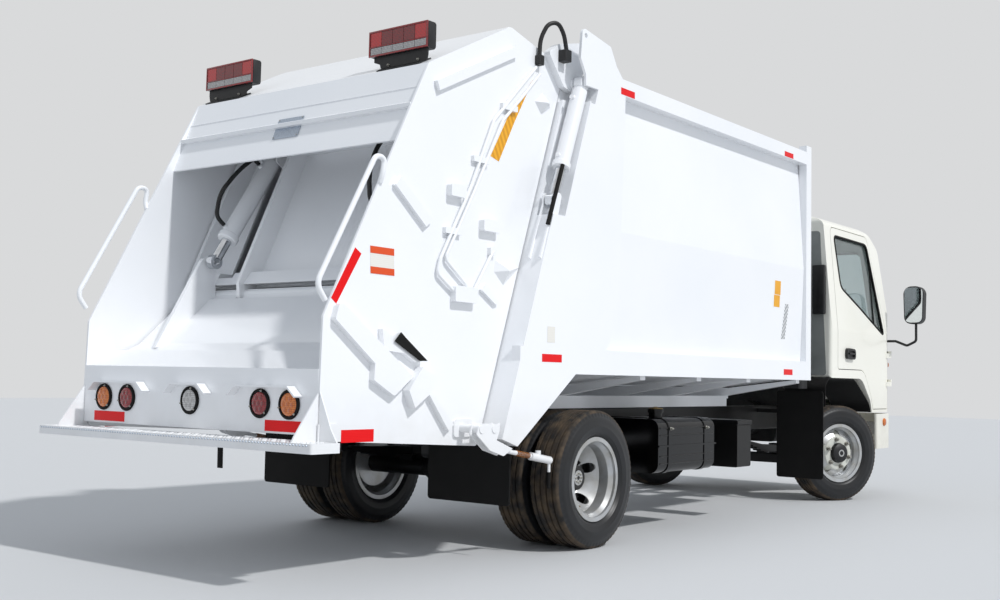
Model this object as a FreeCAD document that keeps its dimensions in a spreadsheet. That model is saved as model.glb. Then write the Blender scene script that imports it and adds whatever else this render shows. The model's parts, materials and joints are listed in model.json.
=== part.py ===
import FreeCAD, Part
import math
import os
from FreeCAD import Placement, Rotation, Vector

# Rear-loading garbage truck: a light two-axle lorry with a tilting cab, a hollow load body
# and a top-hinged tailgate that carries the hopper and the packing mechanism.
# Frame: +X forward, +Y left, +Z up; origin on the ground under the middle of the truck.

doc = FreeCAD.newDocument("garbage_truck")

# ---------------------------------------------------------------- driving dimensions
# alias, millimetres or degrees, what it is
SIZES = [
    ("rear_axle_x", -1410, "rear axle"),
    ("front_axle_x", 2420, "front axle"),
    ("tyre_radius", 383, "215/75 R17.5 tyre"),
    ("tyre_width", 215, "section width"),
    ("rim_radius", 235, "rim flange"),
    ("rim_half_width", 87, "rim flange to wheel centre plane"),
    ("stub_radius", 36, "wheel spindle"),
    ("run_fit", 0.06, "play between a pin or spindle and its bore"),
    ("twin_outer_y", 938, "outer rear wheel's centre plane"),
    ("twin_spacing", 243, "between the twin wheels' centre planes"),
    ("kingpin_y", 800, "steering axis"),
    ("kingpin_radius", 22, "kingpin"),
    ("front_wheel_y", 864, "front wheel's centre plane, steered straight"),
    ("steer_right_deg", -26.2, "right front wheel as parked"),
    ("steer_left_deg", -22.2, "left front wheel as parked"),
    ("frame_half_width", 380, "outside of the chassis rails"),
    ("frame_low_z", 560, "underside of the chassis rails"),
    ("frame_top_z", 752, "top of the chassis rails"),
    ("frame_rear_x", -2255, "rear end of the chassis rails"),
    ("frame_front_x", 3360, "front end of the chassis rails"),
    ("rail_flange", 66, "width of a rail's flanges"),
    ("rail_sheet", 8, "thickness of a rail"),
    ("subframe_top_z", 832, "top of the body's subframe"),
    ("body_half_width", 1030, "outside of the load body"),
    ("body_front_x", 1545, "front face of the load body"),
    ("body_low_z", 965, "underside of the bottom side rails"),
    ("body_top_z", 2695, "top of the upper side rails"),
    ("body_sheet", 8, "skin of the load body"),
    ("seam_low_z", 600, "lowest point of the joint plane between body and tailgate"),
    ("seam_low_x", -2290, "joint plane at that height"),
    ("seam_slope", 0.345, "forward run of the joint plane for each unit of height"),
    ("seam_gap", 12, "gap at the joint plane"),
    ("hinge_x", -1440, "tailgate hinge pin"),
    ("hinge_z", 2800, "tailgate hinge pin"),
    ("hinge_pin_radius", 25, "tailgate hinge pin"),
    ("tailgate_half_width", 886, "outside of the tailgate's side sheets"),
    ("side_sheet", 12, "tailgate side sheet"),
    ("lamp_panel_x", -3407, "rear face of the lamp panel"),
    ("lamp_z", 800, "round lamps' centres"),
    ("lamp_radius", 68, "round lamps' rubber rims"),
    ("cluster_y", 650, "tail lamp clusters' centres"),
    ("blade_pin_x", -2740, "packing blade's hinge, which the hopper's round floor is struck about"),
    ("blade_pin_z", 1360, "packing blade's hinge"),
    ("blade_pin_radius", 30, "packing blade's hinge tube"),
    ("pan_radius", 590, "hopper floor, outside"),
    ("step_rear_x", -3575, "rear edge of the step"),
    ("step_half_width", 1020, "outside of the step"),
    ("step_top_z", 645, "top of the step"),
    ("step_height", 43, "depth of the step's edge"),
    ("lift_y", 980, "lift cylinders' centre plane"),
    ("lift_top_x", -1545, "lift cylinder's pin on the tailgate"),
    ("lift_top_z", 2600, "lift cylinder's pin on the tailgate"),
    ("lift_eye_x", -1810, "lift cylinder's rod eye on the body"),
    ("lift_eye_z", 1900, "lift cylinder's rod eye on the body"),
    ("lift_pin_radius", 20, "pins at both ends"),
    ("packer_y", 590, "packer cylinders' centre plane"),
    ("packer_top_x", -2400, "packer cylinder's pin on the slide panel"),
    ("packer_top_z", 2200, "packer cylinder's pin on the slide panel"),
    ("cab_rear_x", 2150, "rear wall of the cab"),
    ("cab_front_x", 3540, "front panel of the cab"),
    ("cab_half_width", 950, "outside of the doors"),
    ("cab_top_z", 2310, "cab roof"),
    ("cab_wall", 45, "cab wall and door thickness"),
    ("door_gap", 6, "gap round the doors"),
    ("bumper_front_x", 3575, "front of the bumper"),
    ("bumper_low_z", 390, "underside of the bumper"),
    ("bumper_top_z", 690, "top of the bumper"),
    ("spring_half_length", 640, "leaf spring, middle to eye"),
    ("tilt_x", 3480, "cab's tilt axis"),
    ("tilt_z", 727, "cab's tilt axis"),
    ("sling_x", -1580, "sling hole in the ear plate"),
    ("sling_z", 2860, "sling hole in the ear plate"),
    ("sling_radius", 15, "sling hole"),
    ("tank_side_y", 950, "outer face of the fuel tank and battery box"),
    ("tank_inner_y", 480, "inner face of the fuel tank and battery box"),
]
sheet = doc.addObject("Spreadsheet::Sheet", "Sizes")
for row, (alias, value, note) in enumerate(SIZES, start=1):
    sheet.set("A%d" % row, alias)
    sheet.set("B%d" % row, str(value))
    sheet.set("C%d" % row, note)
    sheet.setAlias("B%d" % row, alias)
doc.recompute()


def size(alias):
    """A driving dimension, read back from the sheet."""
    return float(sheet.get(alias))


# ---------------------------------------------------------------- outlines
nodes = []


def circle(u, v, radius):
    """A round outline, for the same places as a list of corners."""
    return [Part.Circle(Vector(u, v, 0), Vector(0, 0, 1), radius)]


def curves(corners):
    """Lines and arcs through (u, v) or (u, v, radius) corners, rounded where a radius is given."""
    if not isinstance(corners[0], tuple):
        return corners
    count = len(corners)
    starts, ends = [], []
    for i, corner in enumerate(corners):
        here = Vector(corner[0], corner[1], 0)
        radius = corner[2] if len(corner) > 2 else 0
        back = (Vector(*corners[i - 1][:2], 0) - here).normalize()
        ahead = (Vector(*corners[(i + 1) % count][:2], 0) - here).normalize()
        if radius <= 0:
            starts.append(here)
            ends.append((here, None))
            continue
        half = back.getAngle(ahead) / 2
        run = radius / math.tan(half)
        middle = here + (back + ahead).normalize() * (radius / math.sin(half) - radius)
        starts.append(here + back * run)
        ends.append((here + ahead * run, middle))
    drawn = []
    for i in range(count):
        end, middle = ends[i]
        if middle is not None:
            drawn.append(Part.Arc(starts[i], middle, end))
        following = starts[(i + 1) % count]
        if (following - end).Length > 1e-6:
            drawn.append(Part.LineSegment(end, following))
    return drawn


def outline(corners):
    """A closed wire through the corners."""
    return Part.Wire([curve.toShape() for curve in curves(corners)])


def oblong(low, high, radius=0):
    """A four-cornered outline between two (u, v) places, with all its corners rounded alike."""
    return [(low[0], low[1], radius), (high[0], low[1], radius), (high[0], high[1], radius),
            (low[0], high[1], radius)]


def strip(start, end, thickness):
    """A thin four-cornered outline from one (u, v) to another, thickened to its left side."""
    along = Vector(end[0] - start[0], end[1] - start[1], 0).normalize()
    off = Vector(-along.y, along.x, 0) * thickness
    return [start, end, (end[0] + off.x, end[1] + off.y), (start[0] + off.x, start[1] + off.y)]


def reach(side, low, high):
    """Two places across the truck, measured outwards on one side: 1 is left, -1 is right."""
    return (low, high) if side > 0 else (-high, -low)


def seam_x(z):
    """The joint plane between body and tailgate, at a height."""
    return size("seam_low_x") + size("seam_slope") * (z - size("seam_low_z"))


def gate_x(z):
    """Front edge of the tailgate, one gap behind the joint plane."""
    return seam_x(z) - size("seam_gap")


# ---------------------------------------------------------------- bodies built in steps
# an outline's plane, and which way that plane faces
PLANES = {"x": ("YZ_Plane", 1), "y": ("XZ_Plane", -1), "z": ("XY_Plane", 1)}


def body(node):
    """An empty body of the document. Its solids needn't touch."""
    made = doc.addObject("PartDesign::Body", node)
    made.Label = node
    made.AllowCompound = True
    return made


def sketch(owner, role, corners):
    """A closed outline on one of the body's own planes."""
    made = owner.newObject("Sketcher::SketchObject", owner.Name + "_outline")
    plane = next(item for item in owner.Origin.OriginFeatures if item.Role == role)
    made.AttachmentSupport = [(plane, "")]
    made.MapMode = "FlatFace"
    made.addGeometry(curves(corners), False)
    return made


def build(owner, steps):
    """Pads (+) and pockets (-) in turn: sign, axis, outline, low, high.

    The outline's u, v are X, Z along y; Y, Z along x; X, Y along z. Low and high are numbers,
    or formulas on the sheet.
    """
    for sign, axis, corners, low, high in steps:
        role, facing = PLANES[axis]
        drawn = sketch(owner, role, corners)
        drawn.setExpression("AttachmentOffset.Base.z", str(low) if facing > 0 else "-(%s)" % high)
        kind = "Pad" if sign == "+" else "Pocket"
        feature = owner.newObject("PartDesign::" + kind, "%s_%s" % (owner.Name, kind.lower()))
        feature.Profile = drawn
        feature.setExpression("Length", "(%s) - (%s)" % (high, low))
        feature.Reversed = sign == "-"
        feature.Refine = False
    return owner


def turn(owner, sections, across=0, sign="+"):
    """A round piece from (along, radius) corners, turned about the body's own X axis.

    Across shifts that axis sideways. A minus sign cuts the round form out instead.
    """
    drawn = sketch(owner, "XY_Plane", sections)
    drawn.AttachmentOffset = Placement(Vector(0, across, 0), Rotation())
    kind = "Revolution" if sign == "+" else "Groove"
    feature = owner.newObject("PartDesign::" + kind, "%s_%s" % (owner.Name, kind.lower()))
    feature.Profile = drawn
    feature.ReferenceAxis = (drawn, ["H_Axis"])
    feature.Angle = 360
    feature.Refine = False
    return feature


def place(owner, point, direction=(1, 0, 0), up=(0, 0, 1)):
    """Put a body at a point, with its own X axis along a direction and its Z axis towards up."""
    owner.Placement = Placement(Vector(*point), Rotation(Vector(*direction), Vector(0, 0, 0),
                                                         Vector(*up), "XZY"))


def finish(owner, refine=True):
    """Compute a body and keep it as a node."""
    if refine:
        owner.Tip.Refine = True
    doc.recompute()
    if not owner.Shape.isValid() and refine:
        owner.Tip.Refine = False
        doc.recompute()
    nodes.append(owner)
    return owner


def publish(node, *shapes):
    """Keep shapes made with Part's own functions as one node."""
    made = doc.addObject("Part::Feature", node)
    made.Label = node
    made.Shape = shapes[0] if len(shapes) == 1 else Part.makeCompound(list(shapes))
    nodes.append(made)
    return made


# ---------------------------------------------------------------- shapes for the cab and tubes
def fused(shapes):
    """One solid from pieces that overlap or share a face."""
    joined = shapes[0].multiFuse(shapes[1:]) if len(shapes) > 1 else shapes[0]
    refined = joined.removeSplitter()
    return refined if refined.isValid() else joined


def profile(axis, corners, low, high):
    """An outline drawn out along an axis, for forms that are trimmed by one another."""
    face = Part.Face(outline(corners))
    lift = {"x": Vector(1, 0, 0), "y": Vector(0, 1, 0), "z": Vector(0, 0, 1)}[axis]
    if axis == "x":
        face.Placement = Placement(Vector(), Rotation(Vector(0, 1, 0), Vector(0, 0, 1),
                                                      Vector(1, 0, 0), "ZXY"))
    if axis == "y":
        face.Placement = Placement(Vector(), Rotation(Vector(1, 0, 0), Vector(0, 0, 1),
                                                      Vector(0, -1, 0), "ZXY"))
    face.translate(lift * low)
    return face.extrude(lift * (high - low))


def bent_tube(points, radius, bend=None):
    """A round tube along straight runs joined by tangent arcs, as large as the runs allow."""
    corners = [Vector(*p) for p in points]
    edges, last = [], corners[0]
    for i in range(1, len(corners) - 1):
        back, ahead = corners[i - 1] - corners[i], corners[i + 1] - corners[i]
        shorter = min(back.Length, ahead.Length)
        back.normalize()
        ahead.normalize()
        half = back.getAngle(ahead) / 2
        arc = bend or 0.45 * shorter * math.tan(half)
        run = arc / math.tan(half)
        start, end = corners[i] + back * run, corners[i] + ahead * run
        middle = corners[i] + (back + ahead).normalize() * (arc / math.sin(half) - arc)
        edges.append(Part.LineSegment(last, start).toShape())
        edges.append(Part.Arc(start, middle, end).toShape())
        last = end
    edges.append(Part.LineSegment(last, corners[-1]).toShape())
    round_end = Part.Circle(corners[0], corners[1] - corners[0], radius)
    return Part.Wire(edges).makePipeShell([Part.Wire(round_end.toShape())], True, False)


def both_sides(shape):
    """A shape and its copy on the other side of the truck."""
    return [shape, shape.mirror(Vector(0, 0, 0), Vector(0, 1, 0))]


# ---------------------------------------------------------------- wheels
R = size("tyre_radius")
RIM = size("rim_radius")
HALF_TYRE = size("tyre_width") / 2
HALF_RIM = size("rim_half_width")
STUB = size("stub_radius")
FIT = size("run_fit")
BEAD_DEPTH, WELL_DEPTH = 9, 42
BEAD_FIT = 0.3
HAND_HOLES, HAND_HOLE_RADIUS, HAND_HOLE_PITCH = 5, 30, 153


def tyre_section(at):
    """Tyre in section, its middle at a place along the axle: rounded shoulders, full sidewalls."""
    low, high = at - HALF_TYRE, at + HALF_TYRE
    bead, inside = RIM - BEAD_DEPTH + BEAD_FIT, HALF_RIM - 8 - BEAD_FIT
    return [(at - inside, bead), (at - inside, RIM + BEAD_FIT), (low, RIM + 50, 40),
            (low + 4, R - 45, 30), (low + 20, R, 14), (high - 20, R, 14), (high - 4, R - 45, 30),
            (high, RIM + 50, 40), (at + inside, RIM + BEAD_FIT), (at + inside, bead)]


def rim_section(at):
    """Rim in section: bead seats and flanges round a drop centre."""
    low, high = at - HALF_RIM, at + HALF_RIM
    seat, well = RIM - 24, RIM - WELL_DEPTH
    return [(low, RIM), (low, seat), (low + 16, seat), (low + 40, well, 8), (high - 40, well, 8),
            (high - 16, seat), (high, seat), (high, RIM), (high - 8, RIM), (high - 8, RIM - BEAD_DEPTH),
            (low + 8, RIM - BEAD_DEPTH), (low + 8, RIM)]


def disc_section(at, face, foot):
    """Wheel disc in section: flat at the hub and dished to its foot on the rim's drop centre."""
    bore, well = STUB + 20, RIM - WELL_DEPTH + 6
    return [(at + face - 6, bore), (at + face + 6, bore), (at + face + 6, 124, 14),
            (at + foot + 6, well, 0), (at + foot - 6, well, 0), (at + face - 6, 116, 14)]


def wheel_holes(owner):
    """The hand holes that ring a wheel's disc."""
    build(owner, [("-", "x", circle(0, HAND_HOLE_PITCH, HAND_HOLE_RADIUS), -1200, 1200)])
    first = owner.Tip
    ring = owner.newObject("PartDesign::PolarPattern", owner.Name + "_holes")
    ring.Originals = [first]
    axle = next(item for item in owner.Origin.OriginFeatures if item.Role == "X_Axis")
    ring.Axis = (axle, [""])
    ring.Angle = 360
    ring.Occurrences = HAND_HOLES
    owner.Tip = ring


TWIN_OUT = size("twin_outer_y")
TWIN_IN = TWIN_OUT - size("twin_spacing")
HUB = (TWIN_OUT + TWIN_IN) / 2
AXLE_Z = R
REAR_X, FRONT_AXLE = size("rear_axle_x"), size("front_axle_x")
for side, name in ((1, "left"), (-1, "right")):
    rear_middle, outwards = (REAR_X, 0, AXLE_Z), (0, side, 0)
    tyres = body("rear_tyres_%s" % name)
    rims = body("rear_rims_%s" % name)
    for at, face, foot in ((TWIN_OUT, HUB - TWIN_OUT + 8, -12), (TWIN_IN, HUB - TWIN_IN - 8, 12)):
        turn(tyres, tyre_section(at))
        turn(rims, rim_section(at))
        turn(rims, disc_section(at, face, foot))
    wheel_holes(rims)
    turn(rims, [(HUB - 150, STUB + FIT), (HUB + 88, STUB + FIT), (HUB + 88, 0), (HUB + 94, 0),
                (HUB + 94, 60, 4), (HUB + 88, 66), (HUB + 12, 88), (HUB + 12, 122), (HUB - 24, 122),
                (HUB - 24, 158, 6), (HUB - 150, 158, 6)])
    for owner in (tyres, rims):
        place(owner, rear_middle, outwards)
        finish(owner)

    # the front wheel's disc stands outwards; the wheel is steered about its kingpin
    steer = Rotation(Vector(0, 0, 1), size("steer_%s_deg" % name))
    kingpin = Vector(FRONT_AXLE, side * size("kingpin_y"), AXLE_Z)
    outwards = steer.multVec(Vector(0, side, 0))
    reach_out = size("front_wheel_y") - size("kingpin_y")
    tyre = body("front_tyre_%s" % name)
    turn(tyre, tyre_section(reach_out))
    rim = body("front_rim_%s" % name)
    turn(rim, rim_section(reach_out))
    turn(rim, disc_section(reach_out, 62, 14))
    wheel_holes(rim)
    turn(rim, [(reach_out - 6, STUB + FIT), (reach_out + 104, STUB + FIT), (reach_out + 104, 0),
               (reach_out + 110, 0), (reach_out + 110, 48, 8), (reach_out + 96, 72, 8),
               (reach_out + 68, 79), (reach_out + 68, 118), (reach_out + 44, 118), (reach_out - 6, 90)])
    for owner in (tyre, rim):
        place(owner, kingpin, outwards)
        finish(owner)

    # knuckle: an upright round the kingpin, with the spindle and the steering arm behind it
    knuckle = body("knuckle_%s" % name)
    pin_reach = 95
    turn(knuckle, [(0, 0), (0, STUB + 10), (14, 60), (32, 60), (32, STUB), (reach_out + 96, STUB),
                   (reach_out + 96, 0)])
    arm_tip = (-60, 190 * side)
    build(knuckle, [
        ("+", "z", circle(0, 0, 48), -pin_reach, pin_reach),
        ("+", "z", strip((-20, 0), (arm_tip[0] - 15, arm_tip[1]), -30 * side), -84, -58),
        ("+", "z", circle(*arm_tip, 28), -pin_reach, -45),
        ("-", "z", circle(0, 0, size("kingpin_radius") + FIT), -130, 130),
    ])
    place(knuckle, kingpin, outwards)
    finish(knuckle)

# ---------------------------------------------------------------- axles, springs, driveline
KINGPIN = size("kingpin_radius")
SPRING_Y, SPRING_WIDE, LEAF = 345, 70, 11
EYE_RADIUS = 26
REAR_SEAT, FRONT_SEAT = 502, 420
front_axle = body("front_axle")
build(front_axle, [("+", "y", oblong((FRONT_AXLE - 40, 270), (FRONT_AXLE + 40, 350), 12), -520, 520)])
for side in (1, -1):
    pin_y = side * size("kingpin_y")
    build(front_axle, [
        ("+", "x", [(side * 480, 270), (side * 560, 270), (side * 740, 350), (side * 740, 400),
                    (side * 700, 400), (side * 480, 350)], FRONT_AXLE - 36, FRONT_AXLE + 36),
        ("+", "x", [(side * 700, AXLE_Z - 140), (pin_y, AXLE_Z - 140), (pin_y, AXLE_Z - 104),
                    (side * 725, AXLE_Z - 104), (side * 725, AXLE_Z + 17), (side * 700, AXLE_Z + 17)],
         FRONT_AXLE - 20, FRONT_AXLE + 20),
        ("+", "z", circle(FRONT_AXLE, pin_y, 44), AXLE_Z - 140, AXLE_Z - 104),
        ("+", "z", circle(FRONT_AXLE, pin_y, KINGPIN), AXLE_Z - 131, AXLE_Z + 131),
        ("+", "z", circle(FRONT_AXLE, pin_y, 44), AXLE_Z + 100, AXLE_Z + 124),
    ])
finish(front_axle)

# rear axle: its own X axis lies across the truck, so its own -Y axis points forwards
HUB_BACK = HUB - 152
rear_axle = body("rear_axle")
turn(rear_axle, [(-HUB_BACK - 80, 0), (-HUB_BACK - 80, STUB), (-HUB_BACK, STUB), (-HUB_BACK, 62),
                 (-210, 62), (-120, 110, 30), (-60, 175, 50), (60, 175, 50), (120, 110, 30), (210, 62),
                 (HUB_BACK, 62), (HUB_BACK, STUB), (HUB_BACK + 80, STUB), (HUB_BACK + 80, 0)])
build(rear_axle, [
    ("+", "y", circle(0, 0, 95), -215, 0),
    ("+", "y", circle(0, 0, 60), -290, -200),
    ("+", "z", oblong((SPRING_Y - 50, -55), (SPRING_Y + 50, 55)), 0, 64),
    ("+", "z", oblong((-SPRING_Y - 50, -55), (-SPRING_Y + 50, 55)), 0, 64),
    ("+", "x", circle(0, 0, STUB), -HUB - 84, HUB + 84),
])
place(rear_axle, (REAR_X, 0, AXLE_Z), (0, 1, 0))
finish(rear_axle)

# leaf packs: each leaf is shorter than the one above, and the ends hang from the rails
springs = body("leaf_springs")
HALF_SPRING = size("spring_half_length")
for axle_x, seat, leaves, camber in ((FRONT_AXLE, FRONT_SEAT, 6, 60), (REAR_X, REAR_SEAT, 5, 20)):
    tips = [HALF_SPRING * (1 - 0.11 * i) for i in range(leaves)]
    rises = [seat + camber * (tip / HALF_SPRING) ** 2 for tip in tips]
    steps = []
    for i, (tip, rise) in enumerate(zip(tips, rises)):
        steps += [(tip, rise - LEAF * i), (tip, rise - LEAF * (i + 1))]
    top = [(0, seat), (HALF_SPRING * 0.5, seat + camber * 0.25)]
    half_pack = top + steps
    pack = [(axle_x + u, v) for u, v in half_pack] + [(axle_x - u, v) for u, v in reversed(half_pack[1:])]
    for side in (1, -1):
        low_y, high_y = side * SPRING_Y - SPRING_WIDE / 2, side * SPRING_Y + SPRING_WIDE / 2
        build(springs, [("+", "y", pack, low_y, high_y)])
        for end in (1, -1):
            eye_x, eye_z = axle_x + end * HALF_SPRING, seat + camber - LEAF / 2
            build(springs, [("+", "y", [(eye_x - EYE_RADIUS, eye_z - EYE_RADIUS, 25),
                                        (eye_x + EYE_RADIUS, eye_z - EYE_RADIUS, 25),
                                        (eye_x + EYE_RADIUS, size("frame_low_z")),
                                        (eye_x - EYE_RADIUS, size("frame_low_z"))],
                             low_y - 4, high_y - 4)])
        build(springs, [("+", "y", oblong((axle_x - 45, seat - LEAF * leaves), (axle_x + 45, seat + 14)),
                         low_y - 5, high_y + 5)])
finish(springs)

engine = body("engine_block")
build(engine, [
    ("+", "x", [(-230, 430, 40), (230, 430, 40), (270, 620), (270, 960, 40), (-270, 960, 40), (-270, 620)],
     2640, 3230),
    ("+", "x", circle(0, 640, 150), 2500, 2640),
    ("+", "x", circle(0, 640, 95), 2300, 2500),
])
finish(engine)

# drive shafts: two tubes that meet at a centre bearing under the frame
bearing = Vector(700, 0, 600)
rear_flange, front_flange = Vector(REAR_X + 290, 0, AXLE_Z), Vector(2300, 0, 640)
shaft = Part.makeCylinder(42, (bearing - rear_flange).Length, rear_flange, bearing - rear_flange)
shaft = shaft.multiFuse([
    Part.makeCylinder(42, (front_flange - bearing).Length, bearing, front_flange - bearing),
    Part.makeSphere(58, bearing), Part.makeSphere(56, rear_flange), Part.makeSphere(56, front_flange)])
publish("drive_shaft", shaft.cut(rear_axle.Shape).cut(engine.Shape))

# ---------------------------------------------------------------- chassis frame
W = size("frame_half_width")
LOW, TOP = size("frame_low_z"), size("frame_top_z")
REAR, FRONT = size("frame_rear_x"), size("frame_front_x")
SHEET_RAIL, FLANGE = size("rail_sheet"), size("rail_flange")
TILT_X, TILT_Z = size("tilt_x"), size("tilt_z")
CROSS_R, TILT_PIN = 32, 16
CROSSMEMBERS = [(-2180, 656), (-1760, 656), (-860, 706), (300, 706), (1500, 706), (3310, 620)]
frame = body("chassis_frame")
for side in (1, -1):
    inner_face = side * (W - SHEET_RAIL)
    build(frame, [
        ("+", "x", [(side * W, LOW, 10), (side * W, TOP, 10), (side * (W - FLANGE), TOP),
                    (side * (W - FLANGE), TOP - SHEET_RAIL), (inner_face, TOP - SHEET_RAIL, 4),
                    (inner_face, LOW + SHEET_RAIL, 4), (side * (W - FLANGE), LOW + SHEET_RAIL),
                    (side * (W - FLANGE), LOW)], "Sizes.frame_rear_x", "Sizes.frame_front_x"),
        ("+", "y", [(3240, 600), (3240, 735), (TILT_X - 80, 735), (TILT_X - 26, TILT_Z + 30, 20),
                    (TILT_X + 26, TILT_Z + 30, 20), (TILT_X + 32, TILT_Z - 26, 20), (3400, 600)],
         *reach(side, W, W + 12)),
        ("+", "y", circle(TILT_X, TILT_Z, TILT_PIN), *reach(side, W, W + 38)),
    ])
build(frame, [("+", "y", circle(x, z, CROSS_R), -W + SHEET_RAIL - 2, W - SHEET_RAIL + 2)
              for x, z in CROSSMEMBERS])
finish(frame)

# ---------------------------------------------------------------- load body
B = size("body_half_width")
SUB = size("subframe_top_z")
FRONT_X = size("body_front_x")
B_LOW, B_TOP = size("body_low_z"), size("body_top_z")
SKIN = size("body_sheet")
HX, HZ = size("hinge_x"), size("hinge_z")
HINGE_R = size("hinge_pin_radius")
# recesses in the rear frame for the lift cylinders: reach forwards of the joint plane
RECESS, POCKET = 112, 160
RECESS_LOW, RECESS_HIGH, POCKET_LOW = 1820, 2500, 2490
LINER = 10
RING = 60
LIFT_Y = size("lift_y")


def body_section(inset):
    """The load body across the truck, drawn in by an inset: leaning walls and a floor that dips."""
    half = [(B - 45 - inset, B_LOW + 150), (B - 20 - inset, 1800), (B - 70 - inset, B_TOP - 90),
            (B - 70 - inset, B_TOP - 40 - inset)]
    low = [(-(B - 45 - inset), B_LOW + 20 + inset), (-W, 905 + inset), (W, 905 + inset),
           (B - 45 - inset, B_LOW + 20 + inset)]
    return half + [(-y, z) for y, z in reversed(half)] + low


def seam_slab(thickness, z_low, z_high, offset=0):
    """Side view of a slab that lies forward of the joint plane between two heights."""
    return [(seam_x(z_low) + offset, z_low), (seam_x(z_low) + offset + thickness, z_low),
            (seam_x(z_high) + offset + thickness, z_high), (seam_x(z_high) + offset, z_high)]


shell = body("body_shell")
build(shell, [
    ("+", "x", body_section(0), -2400, "Sizes.body_front_x"),
    ("-", "x", body_section(SKIN), -2500, "Sizes.body_front_x - Sizes.body_sheet"),
    ("-", "y", [(seam_x(400), 400), (seam_x(3000), 3000), (-4000, 3000), (-4000, 400)], -1200, 1200),
])
for side in (1, -1):
    build(shell, [
        # bottom and top side rails, and the front corner post
        ("+", "y", oblong((seam_x(1000) + 10, B_LOW), (FRONT_X, B_LOW + 140), 0), *reach(side, B - 55, B)),
        ("+", "y", oblong((-1180, B_TOP - 95), (FRONT_X, B_TOP), 0), *reach(side, B - 80, B)),
        ("+", "y", oblong((FRONT_X - 90, B_LOW), (FRONT_X, B_TOP + 50), 0), *reach(side, B - 60, B)),
        # rear frame: an outer strip along the joint plane, the hinge's ear plate, an inner ring
        ("+", "y", [(seam_x(630), 630), (seam_x(630) + 130, 590), (-1616, 975), (-1400, 975),
                    (-1200, 1300), (-1150, B_TOP), (seam_x(B_TOP), B_TOP)], *reach(side, B - 60, B)),
        ("+", "y", [(-1640, 2600), (-1614, 2900, 30), (-1321, 2855, 20), (-1254, 2753),
                    (-1180, B_TOP - 6), (-1100, B_TOP - 6), (-1100, 2600)], *reach(side, B - 16, B)),
        ("+", "y", seam_slab(RING, 640, B_TOP - 40), *reach(side, 866, B - 20)),
    ])
build(shell, [
    ("+", "y", seam_slab(90, 640, 905), -B + 60, B - 60),
    ("-", "x", oblong((-W, 600), (W, TOP)), REAR - 100, REAR + 400),
    ("+", "y", seam_slab(110, 2560, 2655), -870, 870),
])
for side in (1, -1):
    # the lift cylinder's recess and the pocket over it, each cut and then lined
    build(shell, [
        ("-", "y", seam_slab(RECESS + 400, RECESS_LOW, RECESS_HIGH, -400), *reach(side, 918, B + 10)),
        ("-", "y", seam_slab(POCKET + 400, POCKET_LOW, 2760, -400), *reach(side, 880, B - 16)),
        ("-", "y", seam_slab(POCKET + 400, POCKET_LOW, 2580, -400), *reach(side, B - 20, B + 10)),
        ("+", "y", seam_slab(RECESS + 10, RECESS_LOW, RECESS_HIGH), *reach(side, 906, 918)),
        ("+", "y", seam_slab(10, RECESS_LOW, RECESS_HIGH, RECESS), *reach(side, 906, B - 2)),
        ("+", "y", seam_slab(POCKET + 10, POCKET_LOW, B_TOP - 40), *reach(side, 868, 880)),
        ("+", "y", seam_slab(10, POCKET_LOW, B_TOP - 10, POCKET), *reach(side, 868, B - 18)),
        ("+", "y", seam_slab(RECESS + LINER, RECESS_LOW - LINER, RECESS_LOW), *reach(side, 868, B)),
        ("-", "y", [(-1680, 2570), (-1680, 2725), (-1630, 2725), (-1576, 2645), (-1572, 2570)],
         *reach(side, B - 20, B + 10)),
        # hinge pin, the sling's hole in the ear plate, and the lift cylinder's bracket plates
        ("+", "y", circle(HX, HZ, HINGE_R), *reach(side, 892, B - 1)),
        ("-", "y", circle(size("sling_x"), size("sling_z"), size("sling_radius")),
         *reach(side, B - 30, B + 10)),
    ])
    for low in (LIFT_Y - 40, LIFT_Y + 30):
        build(shell, [("+", "y", [(seam_x(1560) + 20, 1560), (seam_x(1560) - 12, 1580), (-1852, 1880, 20),
                                  (-1852, 1942, 20), (-1775, 1942, 20), (seam_x(1836) + 60, 1836)],
                       *reach(side, low, low + 10))])
finish(shell)

OUTRIGGERS = (-820, -110, 610, 1440)
subframe = body("body_subframe")
for side in (1, -1):
    build(subframe, [("+", "x", oblong(*[(u, v) for u, v in zip(sorted((side * W, side * (W - 60))),
                                                                (TOP, SUB))]),
                      seam_x(SUB) + 100, FRONT_X - 100)])
    for x in OUTRIGGERS:
        build(subframe, [("+", "x", [(side * (W - 60), SUB), (side * W, SUB), (side * (B - 60), 940),
                                     (side * (B - 60), B_LOW), (side * W, 890), (side * (W - 60), 890)],
                          x - 30, x + 30)])
build(subframe, [("+", "x", oblong((-W, SUB - 20), (W, 895)), x - 30, x + 30) for x in OUTRIGGERS])
finish(subframe)

# ejector: a raked panel with ribs, trimmed to the inside of the body
EJECTOR_FIT = 12
panel = fused([
    profile("y", [(900, 900), (912, 900), (1272, 2600), (1260, 2600)], -B, B),
    profile("y", [(900, 900), (980, 900), (980, 960), (912, 960)], -B, B),
    *[profile("y", [(912, 900), (1250, 900), (1290, 1150), (1290, 2480), (1250, 2500)], y - 8, y + 8)
      for y in (-600, -200, 200, 600)],
])
publish("ejector_panel", panel.common(profile("x", body_section(SKIN + EJECTOR_FIT), 800, 1400)))

# ---------------------------------------------------------------- tailgate
T = size("tailgate_half_width")
SIDE_SHEET, PLATE = size("side_sheet"), 10
INNER = T - SIDE_SHEET
PX, PZ = size("blade_pin_x"), size("blade_pin_z")
PAN_R, PAN_START, PAN_END = size("pan_radius"), 213, 298
STEP_TOP = size("step_top_z")
LAMP_X, LAMP_Z = size("lamp_panel_x"), size("lamp_z")
RIDGE, ROOF_BREAK = (-2090, 2808), (-2740, 2470)
BROW_FOOT, SILL, CHEST = (-2889, 2096), (-3400, 1192), (-3407, 869)


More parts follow.
